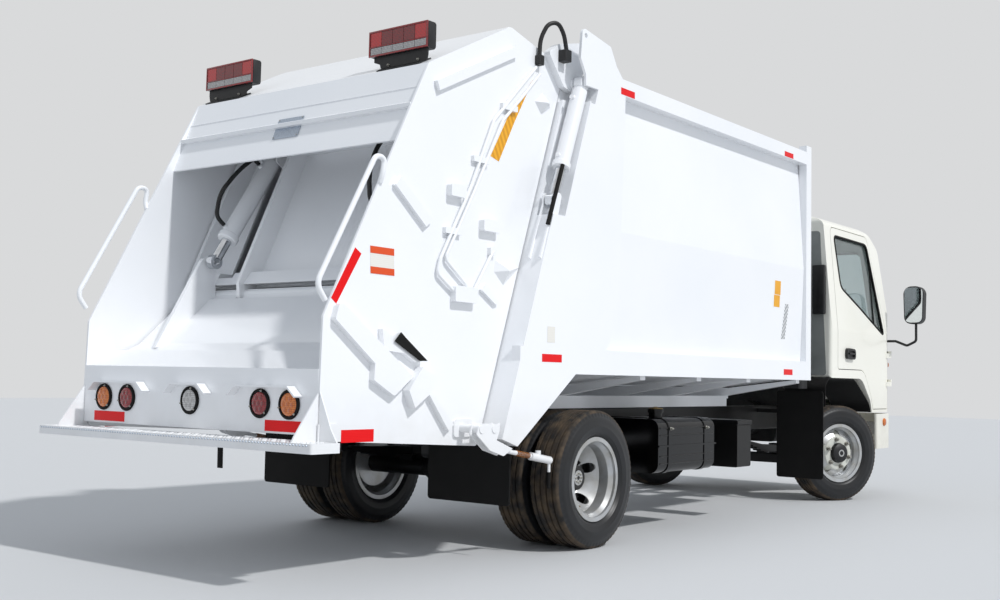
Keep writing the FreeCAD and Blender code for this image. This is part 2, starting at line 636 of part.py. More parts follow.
def pan_band(radius, thickness, start, end):
    """A curved plate's outline, struck about the blade's hinge between two angles in degrees."""
    def at(r, angle):
        turned = math.radians(angle)
        return Vector(PX + r * math.cos(turned), PZ + r * math.sin(turned), 0)
    inside, middle = radius - thickness, (start + end) / 2
    return [Part.Arc(at(radius, start), at(radius, middle), at(radius, end)),
            Part.LineSegment(at(radius, end), at(inside, end)),
            Part.Arc(at(inside, end), at(inside, middle), at(inside, start)),
            Part.LineSegment(at(inside, start), at(radius, start))]


pan_tip = (PX + PAN_R * math.cos(math.radians(PAN_END)), PZ + PAN_R * math.sin(math.radians(PAN_END)))
gate = body("tailgate_shell")
gate_side = [(gate_x(600), 590, 30), (-3376, STEP_TOP, 20), CHEST, (SILL[0], SILL[1], 30), ROOF_BREAK,
             (RIDGE[0], RIDGE[1], 60), (gate_x(2640), 2690), (gate_x(2640), 2640)]
for side in (1, -1):
    build(gate, [("+", "y", gate_side, *reach(side, INNER, T))])
across = (-INNER - 1, INNER + 1)
build(gate, [("+", "y", corners, *across) for corners in (
    # roof, brow and its turned-in lip, lamp panel, sill, the pan and the ramp behind it, header
    strip((gate_x(2640), 2690), RIDGE, PLATE),
    strip(RIDGE, ROOF_BREAK, PLATE),
    strip(ROOF_BREAK, BROW_FOOT, PLATE),
    strip(BROW_FOOT, (-2901, 2065), PLATE),
    strip((LAMP_X, 952), (LAMP_X, 668), PLATE),
    [(LAMP_X, 940), (LAMP_X, 960), (-3340, 975), (-3330, 965)],
    strip((-3228, 1036), (-3400, 950), -PLATE),
    pan_band(PAN_R, PLATE, PAN_START, PAN_END),
    strip((pan_tip[0] - 6, pan_tip[1] - 3), (gate_x(905), 905), PLATE),
    oblong((gate_x(2560) - 80, 2560), (gate_x(2560), 2620)),
    # folded rib across the brow
    [(-2822, 2265), (-2858, 2250), (-2858, 2232), (-2836, 2228)],
)])
for middle, out in ((549, 179), (-549, 179), (0, 105)):
    build(gate, [("+", "x", [(middle - out, 882), (middle + out, 882), (middle + out + 52, 838),
                             (middle + out + 47, 832), (middle + out - 3, 874), (middle - out + 3, 874),
                             (middle - out - 47, 832), (middle - out - 52, 838)],
                  LAMP_X - 50, LAMP_X + 4)])

# ribs, pockets and gussets welded to the side sheets: outline, how far it stands out
SIDE_FORMS = [
    ([(-2700, 2385), (-2679, 2340), (-2045, 2655), (-2067, 2702)], 24),
    ([(-2945, 1875), (-2981, 1832), (-2757, 1657), (-2706, 1696)], 24),
    ([(-3356, 1182, 12), (-3336, 1250, 16), (-3306, 1252, 12), (-2835, 934), (-2962, 843, 20),
      (-3102, 916, 12), (-3098, 992)], 34),
    ([(-3052, 1151), (-2984, 1123), (-2938, 1141), (-2752, 1015), (-2816, 1003), (-2896, 1043),
      (-3034, 1054)], 30),
    ([(-2782, 981), (-2670, 931), (-2720, 856), (-2830, 788), (-2875, 870)], 46),
    ([(-2286, 1415), (-2165, 1325), (-2198, 1316), (-2316, 1384)], 20),
    ([(-2722, 862), (-2670, 850), (-2524, 703), (-2565, 676)], 30),
]
PYRAMIDS = [[(-2187, 1550), (-1973, 1528), (-2112, 1422), (-2191, 1486)],
            [(-1860, 2450), (-1790, 2510), (-1715, 2440), (-1800, 2390)]]
for side in (1, -1):
    for corners, stands in SIDE_FORMS:
        build(gate, [("+", "y", corners, *reach(side, T - 1, T + stands))])
    # the lift cylinder's pocket in the third rib's box is open at its top
    build(gate, [("-", "y", [(-3040, 1160), (-2990, 1112), (-2937, 1128), (-2765, 1012), (-2740, 1160)],
                  *reach(side, T + 4, T + 26))])
    # hinge arm beside the ear plate, with the lift cylinder's pin
    build(gate, [
        ("+", "y", [(-1790, 2735, 20), (-1640, 2570, 40), (-1530, 2550, 40), (-1396, 2770, 36),
                    (-1402, 2848, 36), (-1500, 2850, 30), (-1700, 2800, 60)], *reach(side, T - 1, T + 40)),
        ("-", "y", circle(HX, HZ, HINGE_R + FIT), *reach(side, T - 4, T + 60)),
        ("+", "y", circle(size("lift_top_x"), size("lift_top_z"), size("lift_pin_radius")),
         *reach(side, T, LIFT_Y + 26)),
        ("+", "y", circle(size("lift_top_x"), size("lift_top_z"), 34), *reach(side, T, T + 52)),
    ])
finish(gate)
pyramids = []
for side in (1, -1):
    for corners in PYRAMIDS:
        base = outline(corners)
        middle = [sum(c[i] for c in corners) / 4 for i in (0, 1)]
        tip = outline([(middle[0] + (u - middle[0]) * 0.08, middle[1] + (v - middle[1]) * 0.08)
                       for u, v in corners])
        tip.translate(Vector(0, 0, 46))
        form = Part.makeLoft([base, tip], True, True)
        form.Placement = Placement(Vector(0, side * T, 0), Rotation(Vector(1, 0, 0), 90))
        if side > 0:
            form = form.mirror(Vector(0, side * T, 0), Vector(0, 1, 0))
        pyramids.append(form)
publish("side_gussets", *pyramids)
gate_solid = gate.Shape

# step: a folded tread plate with gussets behind it
S = size("step_half_width")
STEP_REAR = size("step_rear_x")
step = body("rear_step")
build(step, [
    ("+", "z", [(STEP_REAR, -S, 12), (LAMP_X - 1, -S), (LAMP_X - 1, S), (STEP_REAR, S, 12)],
     "Sizes.step_top_z - Sizes.step_height", "Sizes.step_top_z"),
    ("-", "z", oblong((STEP_REAR + 6, -S + 6), (LAMP_X + 50, S - 6)),
     "Sizes.step_top_z - Sizes.step_height - 1", "Sizes.step_top_z - 6"),
    ("+", "x", oblong((-S + 6, STEP_TOP - 40), (S - 6, STEP_TOP - 3)), LAMP_X - 9, LAMP_X - 1),
])
for side in (1, -1):
    build(step, [
        ("+", "x", [(side * T, STEP_TOP - 4), (side * (S - 20), STEP_TOP - 4), (side * (S - 60), 700, 20),
                    (side * (T + 1), 860), (side * T, 860)], LAMP_X, LAMP_X + 8),
        ("+", "y", [(LAMP_X - 1, STEP_TOP - 4), (STEP_REAR + 15, STEP_TOP - 4), (-3545, 668),
                    (LAMP_X - 1, 855)], *reach(side, T - 12, T - 4)),
        ("+", "y", oblong((LAMP_X - 9, STEP_TOP - 40), (LAMP_X + 110, 720)), *reach(side, T, T + 8)),
        ("+", "y", oblong((LAMP_X - 9, STEP_TOP - 40), (LAMP_X, STEP_TOP)), *reach(side, T - 30, T + 30)),
    ])
finish(step)

HANDLE_R = 13
rails = []
for side in (1, -1):
    y = side * (T + HANDLE_R + 1)
    rail = bent_tube([(-3062, side * (T - 2), 1830), (-3062, y, 1870), (-3050, y, 1945), (-3110, y, 1950),
                      (-3460, y, 1330), (-3405, y, 1262)], HANDLE_R)
    rails.append(rail)
publish("grab_handles", *[rail.cut(gate_solid) for rail in rails])

# ---------------------------------------------------------------- lift cylinders
PIN_R = size("lift_pin_radius")
LOOSE_EYE = 20.3


def cylinder_line(start, end):
    """Length between a cylinder's two pins and the direction from the first to the second."""
    line = Vector(end[0] - start[0], 0, end[1] - start[1])
    return line.Length, line.normalize()


def cylinder_pair(name, start, end, middle_y, tube, bar, lengths):
    """Barrels and rods of two like cylinders, one on each side.

    Tube and bar are radii. Lengths are where the bore starts, where the rod starts, and how far
    short of the second pin the barrel ends.
    """
    total, along = cylinder_line(start, end)
    bore_from, rod_from, short = lengths
    mouth = total - short
    barrels, rods = body(name + "_barrels"), body(name + "_rods")
    for side in (1, -1):
        y = side * middle_y
        turn(barrels, [(20, 0), (20, 30), (50, 30), (50, tube), (mouth - 40, tube),
                       (mouth - 34, tube + 8), (mouth - 6, tube + 8), (mouth, tube + 2),
                       (mouth, bar + FIT), (bore_from, bar + FIT), (bore_from, 0)], y)
        turn(rods, [(rod_from, 0), (rod_from, bar), (total - 20, bar), (total - 20, 0)], y)
        build(barrels, [
            ("+", "y", circle(0, 0, tube - 4), y - 24, y + 24),
            ("-", "y", circle(0, 0, PIN_R + FIT), y - 60, y + 60),
            ("+", "z", circle(bore_from + 20, y, 14), tube - 8, tube + 16),
            ("+", "z", circle(mouth - 60, y, 12), tube - 8, tube + 14),
        ])
        build(rods, [("+", "y", circle(total, 0, 40), y - 22, y + 22),
                     ("-", "y", circle(total, 0, LOOSE_EYE), y - 60, y + 60)])
    for owner in (barrels, rods):
        place(owner, (start[0], 0, start[1]), along)
        finish(owner)


LIFT_TOP = (size("lift_top_x"), size("lift_top_z"))
LIFT_EYE = (size("lift_eye_x"), size("lift_eye_z"))
cylinder_pair("lift_cylinder", LIFT_TOP, LIFT_EYE, LIFT_Y, 44, 28, (100, 180, 200))

# ---------------------------------------------------------------- packing mechanism
# the slide panel runs up and down inside the tailgate; the blade hangs from its lower edge
C = INNER - 14
PANEL_TOP = (PX + 450, PZ + 900)
BLADE_PIN = size("blade_pin_radius")
ARM_Y, PACK_Y = 640, size("packer_y")
PACK_TOP = (size("packer_top_x"), size("packer_top_z"))
PACK_EYE = (PX - 79, PZ + 186)
KNUCKLES = [(-C + 32, -440), (-380, 380), (440, C - 32)]
slide = body("slide_panel")
top_x, top_z = PANEL_TOP
build(slide, [("+", "y", corners, -C, C) for corners in (
    [(PX + 75, PZ + 40), (top_x + 10, top_z), (top_x - 2, top_z + 6), (PX + 63, PZ + 46)],
    oblong((top_x - 110, top_z - 60), (top_x + 12, top_z)),
    [(PX - 30, PZ + 60), (PX + 70, PZ + 60), (PX + 110, PZ + 130), (PX + 20, PZ + 130)],
)])
build(slide, [("+", "y", [(top_x + 10, top_z), (top_x - 130, top_z), (PX - 60, PZ + 70, 30),
                          (PX - 50, PZ - 45, 40), (PX + 50, PZ - 45, 40), (PX + 75, PZ + 40)],
               y - 12, y + 12) for y in (-C + 14, -410, 410, C - 14)])
build(slide, [("-", "y", circle(PX, PZ, BLADE_PIN + FIT), -C - 5, C + 5)])
for side in (1, -1):
    middle = side * PACK_Y
    build(slide, [("-", "y", oblong((PX, PZ + 90), (top_x - 30, PZ + 950)), middle - 62, middle + 62)])
    for edge in (middle - 70, middle + 60):
        build(slide, [("+", "y", [(top_x - 10, top_z - 4), (PACK_TOP[0] - 50, PACK_TOP[1] + 40, 30),
                                  (PACK_TOP[0] - 50, PACK_TOP[1] - 45, 30), (top_x - 60, top_z - 160)],
                       edge, edge + 10)])
    build(slide, [("+", "y", circle(*PACK_TOP, PIN_R), middle - 65, middle + 65)])
finish(slide)

blade = body("packing_blade")
build(blade, [("+", "y", circle(PX, PZ, BLADE_PIN), -C, C)])
build(blade, [("+", "y", [(PX - 60, PZ - 40), (PX - 10, PZ + 32), (PX + 34, PZ - 10), (PX - 20, PZ - 70)],
               low, high) for low, high in KNUCKLES])
build(blade, [("+", "y", [(PX - 70, PZ - 20), (PX - 40, PZ - 80), (PX - 330, PZ - 300, 60),
                          (PX - 445, PZ - 345), (PX - 455, PZ - 325), (PX - 350, PZ - 275, 60)],
               -C + 4, C - 4)])
build(blade, [("+", "y", [(PX - 30, PZ - 40), (PX - 40, PZ + 190, 40), (PX - 120, PZ + 215, 40),
                          (PX - 420, PZ - 300), (PX - 330, PZ - 290)], *reach(side, ARM_Y - 12, ARM_Y + 12))
              for side in (1, -1)])
finish(blade)
cylinder_pair("blade_cylinder", PACK_TOP, PACK_EYE, PACK_Y, 50, 30, (100, 170, 150))

# ---------------------------------------------------------------- cab
CR, CF = size("cab_rear_x"), size("cab_front_x")
CW, CT = size("cab_half_width"), size("cab_top_z")
WALL = size("cab_wall")
DOOR_GAP = size("door_gap")
TUNNEL_HALF, TUNNEL_TOP, TUNNEL_FRONT, COVER = 410, 1050, 3370, 25
DOOR_PIN_X, DOOR_PIN_Y, DOOR_PIN_R = 3432, 966, 8
GLASS_OUT, GLASS_IN = 16, 22


def box(x, y, z):
    """A block between two places on each axis."""
    return Part.makeBox(x[1] - x[0], y[1] - y[0], z[1] - z[0], Vector(x[0], y[0], z[0]))


def cab_block(inset):
    """The cab's outer form drawn in by an inset: side view, front view and plan in common."""
    i = inset
    side_view = [(CR + i, 990 + i, 20), (CR + i, CT - i, 60), (3040 - i / 2, CT - i, 200),
                 (3330 - i, 2130 - i / 2, 120), (3500 - i, 1340, 60), (CF - i, 1200, 60),
                 (CF - i, 705 + i, 20), (3030 - i / 2, 705 + i), (3000 - i / 2, 800 + i, 120),
                 (2800, 990 + i, 180)]
    front_view = [(-CW + i, 650 + i), (-CW + i, 1380, 300), (-CW + 75 + i, CT - 60, 60),
                  (-CW + 160 + i, CT - i, 200), (CW - 160 - i, CT - i, 200), (CW - 75 - i, CT - 60, 60),
                  (CW - i, 1380, 300), (CW - i, 650 + i)]
    plan = [(CR + i, -CW + i, 30), (CF - i, -CW + i, 160), (CF - i, CW - i, 160), (CR + i, CW - i, 30)]
    return profile("y", side_view, -1000, 1000).common(
        profile("x", front_view, 2000, 3700)).common(profile("z", plan, 600, 2500))


def door_layer(side, inner_y):
    """The space outside a surface that leans like the cab's side: what a door takes up."""
    return profile("x", [(side * inner_y, 600), (side * inner_y, 1250), (side * (inner_y - 19), 1420),
                         (side * (inner_y - 80), 2240), (side * 1010, 2240), (side * 1010, 600)],
                   2200, 3520)


tunnel = box((CR - 100, TUNNEL_FRONT), (-TUNNEL_HALF, TUNNEL_HALF), (600, TUNNEL_TOP))
cover = box((CR - 100, TUNNEL_FRONT + COVER), (-TUNNEL_HALF - COVER, TUNNEL_HALF + COVER),
            (600, TUNNEL_TOP + COVER))
cab_outer, cab_inner = cab_block(0), cab_block(WALL)
walls = cab_outer.cut(cab_inner.cut(cover)).cut(tunnel)
G = DOOR_GAP
door_view = [(2280, 1065, 30), (2280, 2225, 60), (3085, 2220, 90), (3395, 1340, 200), (3415, 1200),
             (3415, 735, 20), (3060, 735), (3020, 835, 120), (2850, 1065, 170)]
door_hole = [(2280 - G, 1065 - G, 30), (2280 - G, 2225 + G, 60), (3085 + 4, 2220 + G, 90),
             (3395 + G, 1340, 200), (3415 + G, 1200), (3415 + G, 735 - G, 20), (3060 - G, 735 - G),
             (3020 - G, 835, 120), (2850, 1065 - G, 170)]
window = [(2345, 2160, 30), (3066, 2152, 60), (3318, 1371, 20), (2790, 1590, 60), (2410, 1738, 60)]
screen_view = [(-790, 1360, 60), (790, 1360, 60), (740, 2120, 60), (-740, 2120, 60)]
back_view = oblong((-620, 1650), (620, 2080), 40)
cab = walls
for side in (1, -1):
    span = reach(side, CW - 200, CW + 50)
    cab = cab.cut(profile("y", door_hole, *span).common(door_layer(side, CW - WALL - 8)))
    # slot in the floor for the frame's tilt bracket, and the bore for its pin beside it
    cab = cab.cut(box((TUNNEL_FRONT - 5, TILT_X + 45), reach(side, W - 7, W + 20), (690, TILT_Z + 48)))
    low_y = reach(side, W - 7, W + 39)[0]
    cab = cab.cut(Part.makeCylinder(TILT_PIN + FIT, 46, Vector(TILT_X, low_y, TILT_Z), Vector(0, 1, 0)))
    # door hinge pins, each on a lug of the front post
    for low in (930, 1180):
        pin = Part.makeCylinder(DOOR_PIN_R, 60, Vector(DOOR_PIN_X, side * DOOR_PIN_Y, low))
        seat = profile("z", [(DOOR_PIN_X - 12, side * (DOOR_PIN_Y - 12)), (DOOR_PIN_X + 60, side * 905),
                             (DOOR_PIN_X + 12, side * (DOOR_PIN_Y + 12)),
                             (DOOR_PIN_X - 12, side * (DOOR_PIN_Y + 12))], low + 41, low + 60)
        cab = cab.fuse(pin.fuse(seat).cut(cab_inner))
cab = cab.cut(profile("x", screen_view, 3100, 3700))
cab = cab.cut(profile("x", back_view, 2100, 2250))
publish("cab_shell", cab.removeSplitter())
glass_layer = cab_block(GLASS_OUT).cut(cab_block(GLASS_IN))
publish("windscreen", glass_layer.common(profile("x", screen_view, 3250, 3700)))
publish("rear_window", glass_layer.common(profile("x", back_view, 2100, 2250)))
left_span = (CW - 200, CW + 50)
door = walls.common(profile("y", door_view, *left_span)).common(door_layer(1, CW - WALL - 1))
door = door.cut(profile("y", window, *left_span))
knuckles = []
for low in (930, 1180):
    tube = profile("z", [(DOOR_PIN_X - 60, 938), (DOOR_PIN_X - 19, 938), (DOOR_PIN_X - 19, DOOR_PIN_Y - 12),
                         (DOOR_PIN_X + 12, DOOR_PIN_Y - 12, 10), (DOOR_PIN_X + 12, DOOR_PIN_Y + 12, 10),
                         (DOOR_PIN_X - 20, DOOR_PIN_Y + 12, 10), (DOOR_PIN_X - 60, 953)], low, low + 40)
    bore = Part.makeCylinder(DOOR_PIN_R + FIT, 80, Vector(DOOR_PIN_X, DOOR_PIN_Y, low - 20))
    knuckles.append(tube.cut(bore))
door = fused([door] + knuckles)
glass = glass_layer.common(profile("y", window, *left_span))
grip = profile("y", [(2420, 1150, 34), (2610, 1145, 34), (2606, 1232, 34), (2430, 1238, 34)], 930, 974)
dish = profile("y", [(2445, 1165, 20), (2585, 1162, 20), (2584, 1215, 20), (2448, 1218, 20)], 962, 990)
handle = grip.cut(dish).fuse(profile("y", [(2450, 1186), (2580, 1186), (2580, 1200), (2450, 1200)], 956, 984))
handle = handle.cut(walls)
for name, keep in (("left", 0), ("right", 1)):
    publish("cab_door_%s" % name, both_sides(door)[keep])
    publish("door_glass_%s" % name, both_sides(glass)[keep])
    publish("door_handle_%s" % name, both_sides(handle)[keep])

liners = []
for side in (1, -1):
    liners.append(profile("y", [(2030, 760), (2030, 930, 70), (2110, 990, 70), (2640, 990, 200),
                                (2990, 780, 150), (3020, 706), (3012, 706), (2982, 776, 142),
                                (2638, 982, 192), (2113, 982, 62), (2038, 926, 62), (2038, 760)],
                          *reach(side, 600, 944)))
publish("wheel_arch_liners", *liners)

# bumper: a channel with rounded ends, its lamps let into the front
BUMPER_WALL = 25
BUMPER_FRONT = size("bumper_front_x")
LAMP_FACE = oblong((560, 500), (840, 612), 40)
bumper = body("front_bumper")
build(bumper, [
    ("+", "z", [(3150, -CW - 2, 20), (BUMPER_FRONT, -CW - 2, 170), (BUMPER_FRONT, CW + 2, 170),
                (3150, CW + 2, 20)], "Sizes.bumper_low_z", "Sizes.bumper_top_z"),
    ("-", "z", [(3100, -CW + 23), (BUMPER_FRONT - BUMPER_WALL, -CW + 23, 150),
                (BUMPER_FRONT - BUMPER_WALL, CW - 23, 150), (3100, CW - 23)],
     "Sizes.bumper_low_z - 1", "Sizes.bumper_top_z + 1"),
])
for side in (1, -1):
    build(bumper, [
        ("+", "y", oblong((FRONT, 566), (BUMPER_FRONT - BUMPER_WALL + 3, 620)), *reach(side, W - 66, W - 8)),
        ("-", "x", [(side * u, v, r) for u, v, r in LAMP_FACE], 3400, BUMPER_FRONT + 20),
    ])
finish(bumper)
LAMP_FIT = 0.4
lamp_face = oblong((560 + LAMP_FIT, 500 + LAMP_FIT), (840 - LAMP_FIT, 612 - LAMP_FIT), 40)
headlamp = body("headlamps")
build(headlamp, [("+", "x", [(side * u, v, r) for u, v, r in lamp_face], 3500, 3566) for side in (1, -1)])
finish(headlamp)

SEATS = [(480, 240), (-350, 380)]   # middle and half width
seats = []
for y, half in SEATS:
    seats.append(fused([
        profile("y", [(2560, 1180, 20), (3000, 1180, 40), (3000, 1300, 40), (2560, 1290, 20)],
                y - half, y + half),
        profile("y", [(2570, 1270), (2470, 1900, 30), (2370, 1900, 30), (2440, 1200, 30), (2570, 1200)],
                y - half, y + half),
        box((2580, 2980), (y - half + 30, y + half - 30), (990 + WALL, 1190)).cut(cover).cut(walls)]))
publish("seats", *seats)
wheel_at = Vector(2990, 480, 1480)
column = Vector(0.5, 0, -0.866)
steering = fused([Part.makeTorus(205, 15, wheel_at, column),
                  Part.makeCylinder(45, 40, wheel_at - column * 5, column),
                  Part.makeCylinder(22, 250, wheel_at, column)] +
                 [Part.makeCylinder(12, spoke.Length, wheel_at, spoke)
                  for spoke in (Vector(0, 200, 0), Vector(0, -200, 0), Vector(-173, 0, -100))])
publish("steering_wheel", steering)
dash = profile("y", [(3090, 1240, 40), (3120, 1370, 40), (3430, 1350, 20), (3430, 1000), (3330, 1000)],
               -845, 845)
publish("dashboard", dash.cut(cover).cut(steering))
for side, name in ((1, "left"), (-1, "right")):
    y = side * 1180
    arm = bent_tube([(3445, side * 870, 1330), (3450, side * 1010, 1330), (3450, side * 1110, 1290),
                     (3450, side * 1190, 1330), (3450, side * 1190, 1480)], 11, 32)
    head = profile("x", [(y - 80, 1480, 60), (y + 80, 1480, 60), (y + 90, 1810, 70), (y - 90, 1810, 70)],
                   3410, 3490)
    publish("mirror_%s" % name, fused([arm.cut(cab_outer), head]))

# ---------------------------------------------------------------- tank, boxes, flaps, duct
TANK_OUT, TANK_IN = -size("tank_side_y"), -size("tank_inner_y")
tank = body("fuel_tank")
build(tank, [
    ("+", "x", [(TANK_OUT, 365, 60), (TANK_OUT, 700, 60), (TANK_IN, 700, 60), (TANK_IN, 365, 60)], -590, 145),
    ("+", "x", oblong((TANK_OUT - 12, 528), (TANK_IN + 2, 538)), -596, 151),
    ("+", "z", circle(-300, -760, 44), 696, 740),
    ("+", "z", circle(-300, -760, 52), 732, 758),
])
for low in (-470, 0):
    build(tank, [
        ("+", "x", [(TANK_OUT - 5, 360, 64), (TANK_OUT - 5, 705, 64), (TANK_IN + 5, 705, 64),
                    (TANK_IN + 5, 360, 64)], low, low + 44),
        ("+", "y", oblong((low, 600), (low + 44, 690)), TANK_IN, -W),
    ])
finish(tank)
battery = body("battery_box")
build(battery, [
    ("+", "x", oblong((TANK_OUT, 354), (TANK_IN, 650), 14), 486, 694),
    ("+", "x", oblong((TANK_OUT - 6, 644), (TANK_IN + 6, 678), 12), 480, 700),
    ("+", "y", oblong((520, 600), (660, 640)), TANK_IN - 2, -W),
])
finish(battery)
rear_flaps = body("rear_mudflaps")
front_flaps = body("front_mudflaps")
for side in (1, -1):
    build(rear_flaps, [
        ("+", "x", [(side * 384, 275, 20), (side * 384, 640), (side * 940, 640), (side * 940, 275, 20)],
         -2096, -2084),
        ("+", "y", oblong((-2084, 600), (-2060, 630)), *reach(side, W, 930)),
    ])
    build(front_flaps, [
        ("+", "x", [(side * 560, 190, 20), (side * 560, 880, 20), (side * 950, 880, 20),
                    (side * 950, 190, 20)], 1975, 1985),
        ("+", "y", oblong((1985, 700), (2009, 730)), *reach(side, W, 940)),
    ])
finish(rear_flaps)
finish(front_flaps)
intake = body("air_intake")
build(intake, [
    ("+", "z", [(1760, -860, 30), (1900, -860, 30), (1900, -700, 30), (1760, -700, 30)], 900, 1900),
    ("+", "x", oblong((-800, 1480), (-760, 1520)), "Sizes.body_front_x", 1765),
])
finish(intake)

# ---------------------------------------------------------------- lamps on the tailgate
round_lamps = body("round_lamps")
LAMP_R = size("lamp_radius")
for at in (-698, -503, 0, 503, 698):
    turn(round_lamps, [(0, 0), (0, LAMP_R), (14, LAMP_R, 5), (20, LAMP_R - 8), (23, LAMP_R - 16),
                       (30, LAMP_R - 22, 10), (34, 0)], at)
place(round_lamps, (LAMP_X, 0, LAMP_Z), (-1, 0, 0))
finish(round_lamps)
clusters = body("tail_lamps")
ROOF_SLOPE = (RIDGE[1] - ROOF_BREAK[1]) / (RIDGE[0] - ROOF_BREAK[0])


def roof_at(x):
    """A point on the roof's rear slope."""
    return (x, ROOF_BREAK[1] + ROOF_SLOPE * (x - ROOF_BREAK[0]))


for side in (1, -1):
    low, high = reach(side, size("cluster_y") - 200, size("cluster_y") + 200)
    build(clusters, [
        ("+", "x", oblong((low, 2560), (high, 2694), 14), -2710, -2650),
        ("+", "x", [(side * 520, 2500), (side * 832, 2500), (side * 838, 2530), (side * 838, 2570),
                    (side * 474, 2570), (side * 474, 2535), (side * 514, 2520)], -2697, -2690),
        ("+", "y", strip(roof_at(-2736), roof_at(-2650), 6), *reach(side, 530, 820)),
        ("+", "y", [(-2697, roof_at(-2697)[1] + 2), (-2690, roof_at(-2690)[1] + 2), (-2690, 2520),
                    (-2697, 2520)], *reach(side, 530, 820)),
    ])
finish(clusters)

# ---------------------------------------------------------------- gate clamps
# a fork on the tailgate catches the head of a screw that hangs from the body
CLAMP_Y = 1000
forks = body("gate_clamps")
screws = body("gate_clamp_screws")
for side in (1, -1):
    build(forks, [
        ("+", "y", circle(-2440, 684, 22), *reach(side, T, CLAMP_Y + 30)),
        ("+", "y", oblong((-2500, 640), (-2360, 728), 20), *reach(side, T, T + 12)),
        ("+", "y", circle(-2340, 684, 22), *reach(side, T, CLAMP_Y + 30)),
    ])
    for low in (CLAMP_Y - 26, CLAMP_Y + 18):
        build(forks, [("+", "y", [(-2478, 656, 10), (-2462, 706, 16), (-2310, 707, 10), (-2294, 712),
                                  (-2298, 668), (-2320, 626), (-2186, 580), (-2259, 545), (-2369, 575)],
                       *reach(side, low, low + 8))])
    build(screws, [
        ("+", "y", strip((-2225, 586), (-1985, 548), -24), *reach(side, CLAMP_Y - 12, CLAMP_Y + 12)),
        ("+", "y", strip((-2246, 592), (-2218, 588), -36), *reach(side, CLAMP_Y - 12, CLAMP_Y + 12)),
        ("+", "y", strip((-1995, 555), (-1812, 518), -42), *reach(side, CLAMP_Y - 21, CLAMP_Y + 21)),
        ("+", "y", [(-1960, 556), (-1900, 543), (-1880, 690, 20), (-1935, 690, 20)],
         *reach(side, B, B + 8)),
        ("+", "y", strip((-1958, 548), (-1902, 536), -30), *reach(side, CLAMP_Y, B + 8)),
        ("+", "y", oblong((-1836, 352), (-1820, 505), 7), *reach(side, CLAMP_Y - 8, CLAMP_Y + 8)),
    ])
finish(forks)
finish(screws)

# ---------------------------------------------------------------- pipes and valves, right side
PIPE_R = 9
PIPE_Y = -(T + 16)
ROUTES = [
    [(-1875, 2632), (-2045, 2465), (-2237, 2273), (-2409, 1910), (-2639, 1514), (-2660, 1440),
     (-2505, 1344)],
    [(-1838, 2602), (-2000, 2440), (-2161, 2287), (-2382, 1891), (-2606, 1517), (-2382, 1362)],
    [(-2224, 1587), (-2300, 1480), (-2373, 1375)],
]
pipes = [bent_tube([(x, PIPE_Y, z) for x, z in route], PIPE_R, 30) for route in ROUTES]
VALVES = [((-2587, 1832), (-2470, 1894)), ((-2325, 1686), (-2180, 1748)), ((-2540, 1310), (-2360, 1390))]
for low, high in VALVES:
    pipes.append(profile("y", oblong(low, high, 12), PIPE_Y - 20, -T))
for x, z in ((-2100, 2366), (-2330, 2050), (-2540, 1660)):
    pipes.append(profile("y", oblong((x - 70, z - 16), (x + 60, z + 16), 6), PIPE_Y - 6, -T))
pipes.append(profile("y", oblong((-2250, 1570), (-2200, 1610), 6), PIPE_Y - 6, -T))
publish("hydraulic_pipes", fused(pipes))

# hoses held at both ends: from the pipes' tops to the lift cylinder's pin, over the roof's edge
HOSE_R = 12
hose_y = T + 16
lift_hose = fused([
    bent_tube([(-1846, hose_y, 2700), (-1840, hose_y, 2800), (-1810, 930, 2885), (-1750, 955, 2905),
               (-1700, 962, 2850), (-1672, 962, 2760)], HOSE_R),
    profile("y", oblong((-1866, 2650), (-1822, 2706), 8), T, T + 32),
    profile("y", oblong((-1700, 2700), (-1640, 2766), 6), T + 40, 974)])
publish("lift_hoses", *both_sides(lift_hose))

# hoses from the packer cylinders' ports up to the slide panel's head
UPPER_PORT = [(-2524, 590, 2138), (-2580, 588, 2172), (-2594, 566, 2222), (-2540, 520, 2256),
              (-2476, 504, 2238), (-2400, 504, 2238)]
LOWER_PORT = [(-2763, 590, 1760), (-2818, 588, 1802), (-2812, 570, 1930), (-2720, 520, 2075),
              (-2600, 478, 2180), (-2490, 468, 2226), (-2400, 468, 2226)]
blade_hoses = []
for side in (1, -1):
    for route in (UPPER_PORT, LOWER_PORT):
        blade_hoses.append(bent_tube([(x, side * y, z) for x, y, z in route], HOSE_R))
publish("blade_hoses", *blade_hoses)

# ---------------------------------------------------------------- check and write
doc.recompute()
for item in doc.Objects:
    if "Invalid" in item.State or "Error" in item.State:
        raise RuntimeError("%s failed" % item.Name)
for node in nodes:
    if node.Shape.isNull() or not node.Shape.isValid() or node.Shape.Volume <= 0:
        raise RuntimeError("%s is not a valid solid" % node.Label)
os.makedirs("parts", exist_ok=True)
for node in nodes:
    node.Shape.exportStep("parts/%s.step" % node.Label)
    print(node.Label, len(node.Shape.Solids), "solids", round(node.Shape.Volume / 1e9, 5), "m3")
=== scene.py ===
# %% [markdown]
# # A rear-loading garbage truck
#
# The truck's pieces come packed from its construction model, at their real size and in their real
# places. This notebook gives each one its finish, and adds what is too small or too soft for the
# construction model: tread, bolts, lamp lenses, reflective tape, seals and padded seats.

# %% Load the construction model
import json
import math

import bpy
from mathutils import Matrix, Vector


